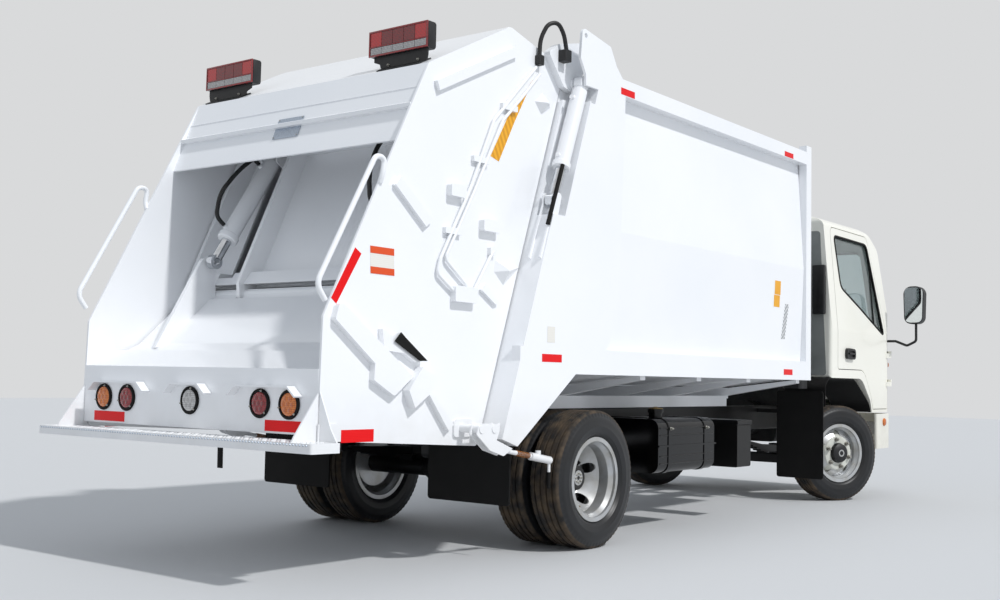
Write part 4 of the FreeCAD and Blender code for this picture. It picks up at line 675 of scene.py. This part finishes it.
# %% Round lamps
LAMP_FACE_X, LAMP_Z = -3407, 800
LAMP_STEPS, BEAD_STEPS = 48, 18
BEAD_CIRCLE = 29   # millimetres
BEADS = [(0, 0)] + [(BEAD_CIRCLE * math.cos(math.pi * k / 3), BEAD_CIRCLE * math.sin(math.pi * k / 3))
                    for k in range(6)]
BACKWARDS = (-1, 0, 0)
ROUND_LAMPS = [(698, amber_acrylic, "amber"), (503, red_acrylic, "red"), (0, clear_acrylic, "clear"),
               (-503, red_acrylic, "red"), (-698, amber_acrylic, "amber")]
grommets = []
for y, lens_finish, colour in ROUND_LAMPS:
    centre = millimetres(LAMP_FACE_X, y, LAMP_Z)
    rim = [(0, 66), (3, 68), (8, 67), (11, 63), (12, 57), (10, 53), (5, 52), (4, 50)]
    grommets.append(spun("grommet", rim, centre, BACKWARDS, LAMP_STEPS))
    dome = [(4, 53), (8, 52), (10.5, 49), (12.5, 40), (13.6, 20), (14, 0)]
    parts = [spun("dome", dome, centre, BACKWARDS, LAMP_STEPS)]
    for u, v in BEADS:
        at = centre + Vector((-0.0128, u / 1000, v / 1000))
        parts.append(spun("bead", [(0, 12.5), (1.6, 11.5), (3.4, 6), (3.8, 0)], at, BACKWARDS, BEAD_STEPS))
    lens = join(parts, "lens_%s_%d" % (colour, y + 1000))
    hand_over(lens, "tailgate", "lamp_lens", lens_finish)
    screws = ring_of_nuts("lamp_screws_%d" % (y + 1000), centre, BACKWARDS, 0.0115, 4, 3, 3, 0.0595)
    hand_over(screws, "tailgate", "worn_steel", worn_zinc)
grommets = join(grommets, "lamp_grommets")
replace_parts(hand_over(grommets, "tailgate", "black_rubber", flap_rubber), "round_lamps")
print("round lamps:", len(ROUND_LAMPS))

# %% Roof lamps
PRISM_PITCH = 10.5      # millimetres
PRISM_DEEP, PANE_THICK = 0.0014, 0.002   # metres


def bar_between(low, high, edge=0.0025):
    """A bevelled bar that fills the box between two corners in metres."""
    bpy.ops.mesh.primitive_cube_add(size=1, location=(Vector(low) + Vector(high)) / 2)
    bar = bpy.context.object
    bar.scale = Vector(high) - Vector(low)
    only(bar)
    bpy.ops.object.transform_apply(location=True, rotation=True, scale=True)
    return modify(bar, "BEVEL", width=edge, segments=2)


def prism_pane(x, low_y, high_y, low_z, high_z):
    """A lens pane whose face is pressed into small square prisms."""
    bpy.ops.mesh.primitive_grid_add(x_subdivisions=round((high_z - low_z) / PRISM_PITCH),
                                    y_subdivisions=round((high_y - low_y) / PRISM_PITCH), size=1)
    pane = bpy.context.object
    pane.rotation_euler = (0, -math.pi / 2, 0)
    pane.scale = ((high_z - low_z) / 1000, (high_y - low_y) / 1000, 1)
    pane.location = millimetres(x, (low_y + high_y) / 2, (low_z + high_z) / 2)
    only(pane)
    bpy.ops.object.transform_apply(location=True, rotation=True, scale=True)
    for vertex in pane.data.vertices:
        if (round(vertex.co.y * 1000 / PRISM_PITCH) + round(vertex.co.z * 1000 / PRISM_PITCH)) % 2:
            vertex.co.x -= PRISM_DEEP
    return modify(pane, "SOLIDIFY", thickness=PANE_THICK, offset=0)


CLUSTER_X = -2710   # millimetres, the lenses' face
PANE_WIDE, PANE_PITCH, PANES = 73, 75.4, 5
for name, side in SIDES:
    low, high = sorted((side * 450, side * 850))
    # A frame, a red field with a reflector at each end, and a clear strip below.
    frame_bars = [bar_between(millimetres(CLUSTER_X - 6, y0, z0), millimetres(CLUSTER_X + 2, y1, z1))
                  for y0, y1, z0, z1 in ((low, high, 2560, 2570), (low, high, 2684, 2694),
                                         (low, low + 10, 2566, 2688), (high - 10, high, 2566, 2688),
                                         (low, high, 2606, 2612))]
    hand_over(join(frame_bars, "roof_lamp_frame_" + name), "tailgate", "lamp_lens", red_acrylic)
    panes = {"red": [], "bright": [], "clear": []}
    for index in range(PANES):
        y0 = low + 12 + index * PANE_PITCH
        kind = "bright" if index in (0, PANES - 1) else "red"
        panes[kind].append(prism_pane(CLUSTER_X - 1.8, y0, y0 + PANE_WIDE, 2613, 2683))
        panes["clear"].append(prism_pane(CLUSTER_X - 1.8, y0, y0 + PANE_WIDE, 2571, 2605))
    end = bar_between(millimetres(CLUSTER_X + 3, low - 2, 2562), millimetres(CLUSTER_X + 52, low + 1, 2692))
    end.name = "roof_lamp_end_" + name
    hand_over(end, "tailgate", "black_plastic", black_abs)
    for pane, finish in (("red", red_acrylic), ("bright", bright_red), ("clear", clear_acrylic)):
        hand_over(join(panes[pane], "roof_lamp_%s_%s" % (pane, name)), "tailgate", "lamp_lens", finish)
    bolts = [ring_of_nuts("bolts", millimetres(-2697, side * y, 2510), BACKWARDS, 0, 6, 5, 1, 0)
             for y in (575, 775)]
    hand_over(join(bolts, "roof_lamp_bolts_" + name), "tailgate", "worn_steel", worn_zinc)
print("roof lamps: two, with", 2 * PANES, "panes each")

# %% [markdown]
# ## Tapes, stickers and plates
#
# Red reflective tape marks the corners. Each strip is a panel under a millimetre thick with its
# edges taken off, so that it catches a line of light. Stickers keep their bands and stay blank.

# %% Tapes and stickers
# Each film: name, body, node it lies on, how far it lies off the skin in millimetres, finish, and its
# corners as x and z in millimetres.
GATE, BODY = ("tailgate", "tailgate_shell"), ("chassis", "body_shell")
SIDE_FILMS = [
    ("slanted_tape", *GATE, 0, red_film, [(-3214, 1513), (-3173, 1488), (-3323, 1251), (-3356, 1275)]),
    ("low_tape", *GATE, 0, red_film, upright(-3270, -3061, 635, 692)),
    ("side_tape_low_rear", *BODY, 0, red_film, upright(-1950, -1768, 1026, 1068)),
    ("side_tape_low_front", *BODY, 0, red_film, upright(1060, 1212, 1000, 1041)),
    ("side_tape_top_rear", *BODY, 0, red_film, upright(-1205, -1052, 2604, 2644)),
    ("side_tape_top_front", *BODY, 0, red_film, upright(1060, 1212, 2603, 2640)),
    ("sticker_white", *GATE, 0, white_film, [(-3111, 1404), (-2950, 1404), (-2957, 1531), (-3118, 1531)]),
    ("sticker_band_top", *GATE, 0.9, orange_film, [(-3116, 1498), (-2955, 1498), (-2957, 1531),
                                                   (-3118, 1531)]),
    ("sticker_band_low", *GATE, 0.9, orange_film, [(-3111, 1404), (-2950, 1404), (-2952, 1436),
                                                   (-3113, 1436)]),
    ("hazard_strip", *GATE, 0, hazard_film, [(-1881, 2563), (-2041, 2300), (-2170, 2068), (-2241, 2086),
                                             (-2100, 2318)]),
    ("placard_top", *BODY, 0, yellow_film, upright(960, 1058, 1580, 1680)),
    ("placard_low", *BODY, 0, yellow_film, upright(952, 1050, 1490, 1576)),
    # The vent's dark slanting bands are painted shade in its slots.
    ("slotted_sticker", *BODY, 0, vent_shade_film, [(1098, 1262), (1158, 1262), (1208, 1520), (1148, 1520)]),
    ("small_sticker", *BODY, 0, white_film, upright(-1905, -1835, 1130, 1215)),
]
for name, body, node, lift, finish, corners in SIDE_FILMS:
    for side_name, side in SIDES:
        if name == "hazard_strip" and side_name == "left":
            continue   # the strip is on the right side only
        piece = sheet_on_side(name + "_" + side_name, corners, node, side, lift)
        hand_over(piece, body, "white_paint", finish)

REAR_FILMS = [("rear_tape_right", -836, -537), ("rear_tape_left", 520, 781)]
for name, low_y, high_y in REAR_FILMS:
    ring = [millimetres(LAMP_FACE_X - 0.2, y, z) for y, z in upright(low_y, high_y, 677, 727)]
    hand_over(thin_plate(name, ring, 0.0008), "tailgate", "white_paint", red_film)
print("films:", 2 * len(SIDE_FILMS) - 1 + len(REAR_FILMS))

# %% [markdown]
# ## The brow's plate and weld
#
# The panel over the hopper leans, so a small frame of directions along it and out of it is worked
# out once, and everything on it is placed by that. The plate is blank sheet held by four rivets.

# %% Plate, rivets and weld
BROW_TOP, BROW_FOOT = Vector((-2.740, 0, 2.470)), Vector((-2.889, 0, 2.096))
BROW_DOWN = (BROW_FOOT - BROW_TOP).normalized()
BROW_OUT = Vector((BROW_DOWN.z, 0, -BROW_DOWN.x))


def on_brow(y, z, out=0.0):
    """A point on the brow over the hopper: y and z in millimetres, standing out in millimetres."""
    along = (z / 1000 - BROW_TOP.z) / BROW_DOWN.z
    return BROW_TOP + BROW_DOWN * along + BROW_OUT * out / 1000 + Vector((0, y / 1000, 0))


corners = [on_brow(y, z, 3) for y, z in upright(-97, 97, 2168, 2284)]
plate = thin_plate("brow_plate", corners, 0.002, 0.0008)
hand_over(plate, "tailgate", "worn_steel", plate_steel)
rivets = [ring_of_nuts("rivet", on_brow(y, z, 3), BROW_OUT, 0.0008, 3, 1.5, 1, 0)
          for y in (-88, 88) for z in (2176, 2276)]
hand_over(join(rivets, "brow_plate_rivets"), "tailgate", "worn_steel", worn_zinc)
weld = rod("brow_weld", [on_brow(-870, 2342), on_brow(870, 2342)], 0.003)
for vertex in weld.data.vertices:
    vertex.co += BROW_OUT * 0.0004
hand_over(weld, "tailgate", "white_paint", white_enamel)
print("brow: a plate,", len(rivets), "rivets and a weld")

# %% [markdown]
# ## The cab's seals, mirrors and lamps
#
# Thick black rubber holds the glass. Each seal is a bent rod that follows the edge of its window,
# which leans in with the cab's side above the waist.

# %% Window seals
WAIST_Y, WAIST_Z, LEAN = 950, 1385, 75 / 870   # millimetres, and millimetres in per millimetre up


def cab_side_y(z):
    """How far out the cab's side is at a height, in millimetres: it leans in above the waist."""
    return WAIST_Y - max(0, z - WAIST_Z) * LEAN


def soft_corners(corners, radius, parts=5):
    """A closed outline with its corners rounded."""
    points = []
    count = len(corners)
    reach = 0.45   # of a side, so that two corners never meet
    for index in range(count):
        before, here, after = (Vector(corners[(index + k) % count]) for k in (-1, 0, 1))
        run = min(radius, reach * (before - here).length, reach * (after - here).length)
        start = here + (before - here).normalized() * run
        end = here + (after - here).normalized() * run
        for part in range(parts + 1):
            t = part / parts
            points.append((1 - t) ** 2 * start + 2 * t * (1 - t) * here + t ** 2 * end)
    return points


DOOR_WINDOW = [(2345, 2160), (3066, 2152), (3318, 1371), (2790, 1590), (2410, 1738)]
BACK_WINDOW = [(-620, 1650), (620, 1650), (620, 2080), (-620, 2080)]
for name, side in SIDES:
    loop = [millimetres(x, side * (cab_side_y(z) - 5), z) for x, z in soft_corners(DOOR_WINDOW, 55)]
    seal = closed_rod("door_window_seal_" + name, loop, 0.011)
    hand_over(seal, "door_" + name, "black_rubber", flap_rubber)
    bar = rod("door_window_post_" + name,
              [millimetres(3128, side * (cab_side_y(z) - 14), z) for z in (1466, 1956)], 0.008)
    hand_over(bar, "door_" + name, "black_rubber", flap_rubber)
loop = [millimetres(2149, y, z) for y, z in soft_corners(BACK_WINDOW, 60)]
hand_over(closed_rod("rear_window_seal", loop, 0.010), "cab", "black_rubber", flap_rubber)

SCREEN_TOP_X, SCREEN_TOP_Z, SCREEN_RAKE = 3330, 2130, 170 / 790


def screen_x(z):
    """The windscreen's face at a height, in millimetres."""
    return SCREEN_TOP_X + (SCREEN_TOP_Z - z) * SCREEN_RAKE


SCREEN = [(-790, 1360), (790, 1360), (740, 2115), (-740, 2115)]
loop = [millimetres(screen_x(z) - 4, y, z) for y, z in soft_corners(SCREEN, 70)]
hand_over(closed_rod("windscreen_seal", loop, 0.010), "cab", "black_rubber", flap_rubber)
print("window seals: 4")

# %% [markdown]
# ## Wipers, grille and front lamps
#
# The front is plain: two wipers that rest on the windscreen, four black bars across the air intake,
# and amber markers at the corners. A headlamp is a chromed bowl behind clear plastic.

# %% Wipers and grille
WIPER_FOOT_Z, WIPER_TIP_Z = 1330, 1640
wipers = []
for start_y, end_y in ((560, 120), (-120, -560)):
    foot = millimetres(screen_x(WIPER_FOOT_Z) + 8, start_y, WIPER_FOOT_Z)
    tip = millimetres(screen_x(WIPER_TIP_Z) + 8, end_y + 150, WIPER_TIP_Z)
    wipers.append(rod("arm", [foot, tip], 0.006))
    blade_ends = [(screen_x(z) + 5, y, z) for y, z in ((end_y + 330, 1480), (end_y - 10, 1800))]
    wipers.append(rod("blade", [millimetres(*p) for p in blade_ends], 0.007))
hand_over(join(wipers, "wipers"), "cab", "black_plastic", black_abs)

bars = []
for z in (850, 905, 960, 1015):
    outline = soft_corners([(-520, z), (520, z), (500, z + 30), (-500, z + 30)], 14, 3)
    bars.append(thin_plate("bar", [millimetres(3541.5, across, up) for across, up in outline], 0.006, 0.0015))
hand_over(join(bars, "grille_bars"), "cab", "black_plastic", black_abs)
print("wipers and", len(bars), "grille bars")

# %% Marker lamps, mirror glass and headlamps
for name, side in SIDES:
    marker = spun("bumper_marker_" + name, [(0, 34), (7, 33), (13, 26), (16, 12), (16.5, 0)],
                  millimetres(3319, side * 952, 618), (0, side, 0), 32)
    hand_over(marker, "chassis", "lamp_lens", amber_acrylic)
    marker = spun("door_marker_" + name, [(0, 20), (5, 19), (9, 12), (10, 0)],
                  millimetres(3462, side * 934, 1120), (0.35, side, 0), 24)
    hand_over(marker, "cab", "lamp_lens", amber_acrylic)
    glass = [millimetres(3408.6, side * 1180 + across, z) for across, z in soft_corners(
        [(-74, 1492), (74, 1492), (82, 1798), (-82, 1798)], 50)]
    glass = thin_plate("mirror_glass_" + name, glass, 0.003, 0.001)
    hand_over(glass, "cab", "black_plastic", mirror_silver)
    window = [millimetres(3567, side * y, z) for y, z in soft_corners(upright(562, 838, 502, 610), 38)]
    rim = closed_rod("headlamp_rim_" + name, window, 0.005)
    hand_over(rim, "chassis", "black_plastic", black_abs)
    for y in (630, 770):
        bowl = spun("headlamp_bowl_%s_%d" % (name, y), [(0, 46), (3, 44), (1.5, 34), (4, 22), (5, 0)],
                    millimetres(3565.5, side * y, 556), (1, 0, 0), 32)
        hand_over(bowl, "chassis", "chromed_rod", hard_chrome)
print("marker lamps, mirror glass and headlamps on both sides")

# %% [markdown]
# ## Machinery details
#
# What holds the machinery shows as bolts and fittings: the bolts of the tank's straps, a brass
# filler cap, the gate clamp's threaded rod with its handle, and a black rod in the gate's seam, its
# rubber seal and painted shade in the gap. A screw thread is made of short spun rings, because at
# this size its slope can't be seen.

# %% Tank and filler cap
for x in (-448, 22):
    place = millimetres(x, -957, 640)
    bolt = ring_of_nuts("tank_strap_bolt_%d" % (x + 1000), place, (0, -1, 0), 0, 9, 12, 1, 0)
    hand_over(bolt, "chassis", "worn_steel", worn_zinc)
flutes = [rod("flute", [millimetres(x, -949, z) for x in (-570, 125)], 0.005) for z in (425, 470, 600, 645)]
hand_over(join(flutes, "tank_flutes"), "chassis", "black_paint", tank_black)
cap = spun("filler_cap", [(0, 50), (10, 51), (12, 49), (26, 47), (30, 42), (31, 14), (36, 12), (36, 0)],
           millimetres(-300, -760, 734), (0, 0, 1), 36)
hand_over(cap, "chassis", "worn_steel", brass)
print("tank:", len(flutes), "flutes, two strap bolts and a filler cap")

# %% Clamp screws, the seam's seal with painted gap shade, and the step's strap
# A clamp screw's parts: its two ends as x and z in millimetres, and its radius in metres.
SCREW_RUNS = [((-2243, 574), (-2216, 570), 0.019), ((-2225, 571), (-1990, 532), 0.0125),
              ((-1998, 533), (-1822, 504), 0.021), ((-1828, 505), (-1828, 440), 0.0085),
              ((-1930, 522), (-1930, 560), 0.016)]
THREAD_X, THREAD_Z, THREAD_PITCH, THREAD_DROP, THREADS = -2.120, 0.5537, 0.0075, 0.00125, 15
for name, side in SIDES:
    shank = [rod("shank", [millimetres(x, side * 1000, z) for x, z in (start, end)], radius)
             for start, end, radius in SCREW_RUNS]
    sleeve = modify(join(shank, "clamp_screw_" + name), "BEVEL", width=0.0015, segments=2)
    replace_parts(hand_over(sleeve, "chassis", "worn_steel", white_enamel), "gate_clamp_screws")
    thread = [Vector((THREAD_X + THREAD_PITCH * step, side, THREAD_Z - THREAD_DROP * step))
              for step in range(THREADS)]
    turns = [spun("turn", [(-3, 13), (0, 14.8), (3, 13)], at, (0.986, 0, -0.165), 16) for at in thread]
    hand_over(join(turns, "clamp_thread_" + name), "chassis", "worn_steel", rusty_thread)
    grip = rod("clamp_handle_grip_" + name, [millimetres(-1828, side * 1000, z) for z in (356, 442)], 0.0105)
    hand_over(modify(grip, "BEVEL", width=0.003, segments=2), "chassis", "black_rubber", flap_rubber)
    # A black rod along the seam: the rubber seal, and painted shade where the gap between gate and body is
    # open.
    seam = [millimetres(x, side * 1020, z) for x, z in ((-1775, 2100), (-1905, 1760))]
    hand_over(rod("seam_seal_and_gap_shade_" + name, seam, 0.012), "tailgate", "black_rubber", flap_rubber)

STRAP_Y, STRAP_SPREAD = -240, 2.2   # the round strap is spread flat about its middle
strap = [millimetres(-3412, STRAP_Y, 604), millimetres(-3410, STRAP_Y, 492)]
strap = rod("step_strap", strap, 0.006)
for vertex in strap.data.vertices:
    vertex.co.y += (vertex.co.y - STRAP_Y / 1000) * STRAP_SPREAD
hand_over(strap, "tailgate", "black_rubber", flap_rubber)
print("clamp screws with", THREADS, "turns of thread each")

# %% [markdown]
# ## Step and cab back
#
# The step's edge is tread plate with raised lozenges. One lozenge is modelled and copied in rows,
# each with only a few faces. The cab's back wall is a grey panel beside a black duct.

# %% Tread plate
bpy.ops.mesh.primitive_cylinder_add(vertices=6, radius=0.011, depth=0.004, location=(0, 0, 0))
lozenge = bpy.context.object
lozenge.scale = (0.38, 1, 1)
only(lozenge)
bpy.ops.object.transform_apply(location=False, rotation=False, scale=True)
modify(lozenge, "BEVEL", width=0.0012, segments=1)
TREAD_TOP = 0.645   # metres
TREAD_START, TREAD_PITCH, TREAD_COLUMNS = -0.975, 0.030, 66
TOOTH_START, TOOTH_PITCH, TEETH = -0.990, 0.020, 100
rows = []
for row, x in enumerate((-3.556, -3.528, -3.500, -3.472, -3.444)):
    for column in range(TREAD_COLUMNS):
        copy = lozenge.copy()
        copy.data = lozenge.data.copy()
        turn = Matrix.Rotation(math.radians(45 if (row + column) % 2 else -45), 4, "Z")
        place = Matrix.Translation((x, TREAD_START + column * TREAD_PITCH, TREAD_TOP))
        copy.data.transform(place @ turn)
        scene.collection.objects.link(copy)
        rows.append(copy)
bpy.data.objects.remove(lozenge)
hand_over(join(rows, "step_tread_lozenges"), "tailgate", "white_paint", white_enamel)
teeth = []
for column in range(TEETH):
    bpy.ops.mesh.primitive_cone_add(vertices=6, radius1=0.0055, radius2=0.003, depth=0.004,
                                    location=(-3.5762, TOOTH_START + column * TOOTH_PITCH, 0.637),
                                    rotation=(0, -math.pi / 2, 0))
    teeth.append(bpy.context.object)
hand_over(join(teeth, "step_edge_teeth"), "tailgate", "white_paint", plate_steel)
print("step:", len(rows), "lozenges and", len(teeth), "teeth")

# %% Cab back
# A grey panel on the cab's back wall: dull, with a slight unevenness.
back = [millimetres(2147.5, y, z) for y, z in soft_corners(
    [(-905, 1010), (-640, 1010), (-640, 2180), (-850, 2180)], 30)]
back = thin_plate("cab_back_panel", back, 0.003)
hand_over(back, "cab", "cream_paint", mottled("grey_cab_back", "#8F9290", "#7E817F", 200, 5,
                                              bump=0.1, Roughness=0.5))
duct = bar_between(millimetres(2100, -905, 1500), millimetres(2146, -800, 1900), 0.012)
duct.name = "cab_back_duct"
hand_over(duct, "cab", "black_plastic", black_abs)
print("cab back: a panel and a duct")

# %% [markdown]
# ## Seats
#
# A single seat and a bench, each a crowned cushion and a leaning back, with sewn channels pulled
# into the padding, standing on hard plastic boxes. A cube cut fine enough to bend is pressed to
# shape by a rule for each vertex, which keeps the cushion closed and even.

# %% Cushions
CUSHION_CUTS = 23
BOX_CROWN, ROUND_CROWN = 0.30, 0.10      # how much of its height the crown loses at the rim
CHANNEL_DEEP, CHANNEL_WIDE = 0.010, 0.012   # metres
SIDE_TUCK, END_TUCK = 0.05, 0.03         # how much the sides and ends draw in
BACK_LEAN = 82.7   # degrees from lying flat


def cushion(name, centre, half, lean, channels):
    """A stuffed cushion: a fine cube crowned on its top, with channels sewn along its length."""
    bpy.ops.mesh.primitive_cube_add(size=2, location=(0, 0, 0))
    piece = bpy.context.object
    piece.name = name
    only(piece)
    bpy.ops.object.mode_set(mode="EDIT")
    bpy.ops.mesh.subdivide(number_cuts=CUSHION_CUTS)
    bpy.ops.object.mode_set(mode="OBJECT")
    for vertex in piece.data.vertices:
        along, across, up = vertex.co
        crown = (1 - BOX_CROWN * (along ** 6 + across ** 6) / 2
                 - ROUND_CROWN * (along ** 2 + across ** 2) / 2)
        sewn = sum(math.exp(-((across - line) * half[1] / CHANNEL_WIDE) ** 2) for line in channels)
        side = 1 - SIDE_TUCK * up ** 4
        vertex.co = (along * half[0] * side * (1 - END_TUCK * across ** 6),
                     across * half[1] * side * (1 - END_TUCK * along ** 6),
                     up * half[2] * crown - (CHANNEL_DEEP * sewn if up > 0.5 else 0))
    modify(piece, "SUBSURF", levels=1)
    piece.rotation_euler = (0, math.radians(lean), 0)
    piece.location = centre
    hand_over(piece, "cab", "seat_fabric", seat_cloth)
    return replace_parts(piece, "seats")


for name, middle, half, channels in (("driver", 0.480, 0.235, (-0.55, -0.18, 0.18, 0.55)),
                                     ("bench", -0.350, 0.375, (-0.72, -0.36, 0, 0.36, 0.72))):
    cushion(name + "_seat_cushion", (2.780, middle, 1.240), (0.215, half, 0.058), 0, channels)
    cushion(name + "_seat_back", (2.4625, middle, 1.5675), (0.330, half, 0.047), BACK_LEAN, channels)
print("cushions: 4")

# %% Seat boxes
boxes = [bar_between(millimetres(2580, low, bottom), millimetres(2980, high, 1184), 0.004)
         for low, high, bottom in ((440, 690, 1037), (-700, -440, 1037), (270, 435, 1078), (-435, 0, 1078))]
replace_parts(hand_over(join(boxes, "seat_boxes"), "cab", "black_plastic", black_abs), "seats")
print("seat boxes:", len(boxes))

# %% [markdown]
# ## Black insert and painted shade in the side bracket
#
# A flat black sheet stands for the black insert and the shaded hollow inside the folded bracket on the gate's
# right side, so its black is partly painted shade.
# A hollow bracket with the insert in it would be truer; a sheet only gives its dark shape.

# %% Bracket insert and painted shade
INSERT_AND_SHADE_Y = -925.5   # millimetres
# Black sheet: the insert's own colour, and painted shade for the bracket's hollow.
insert_and_shade = [(-2979, 1098), (-2936, 1141), (-2900, 1115), (-2743, 1011), (-2797, 1009)]
insert_and_shade = thin_plate("bracket_insert_and_shade", [millimetres(x, INSERT_AND_SHADE_Y, z) for x, z in insert_and_shade], 0.002)
hand_over(insert_and_shade, "tailgate", "black_rubber", flap_rubber)
print("bracket insert:", len(insert_and_shade.data.polygons), "faces")
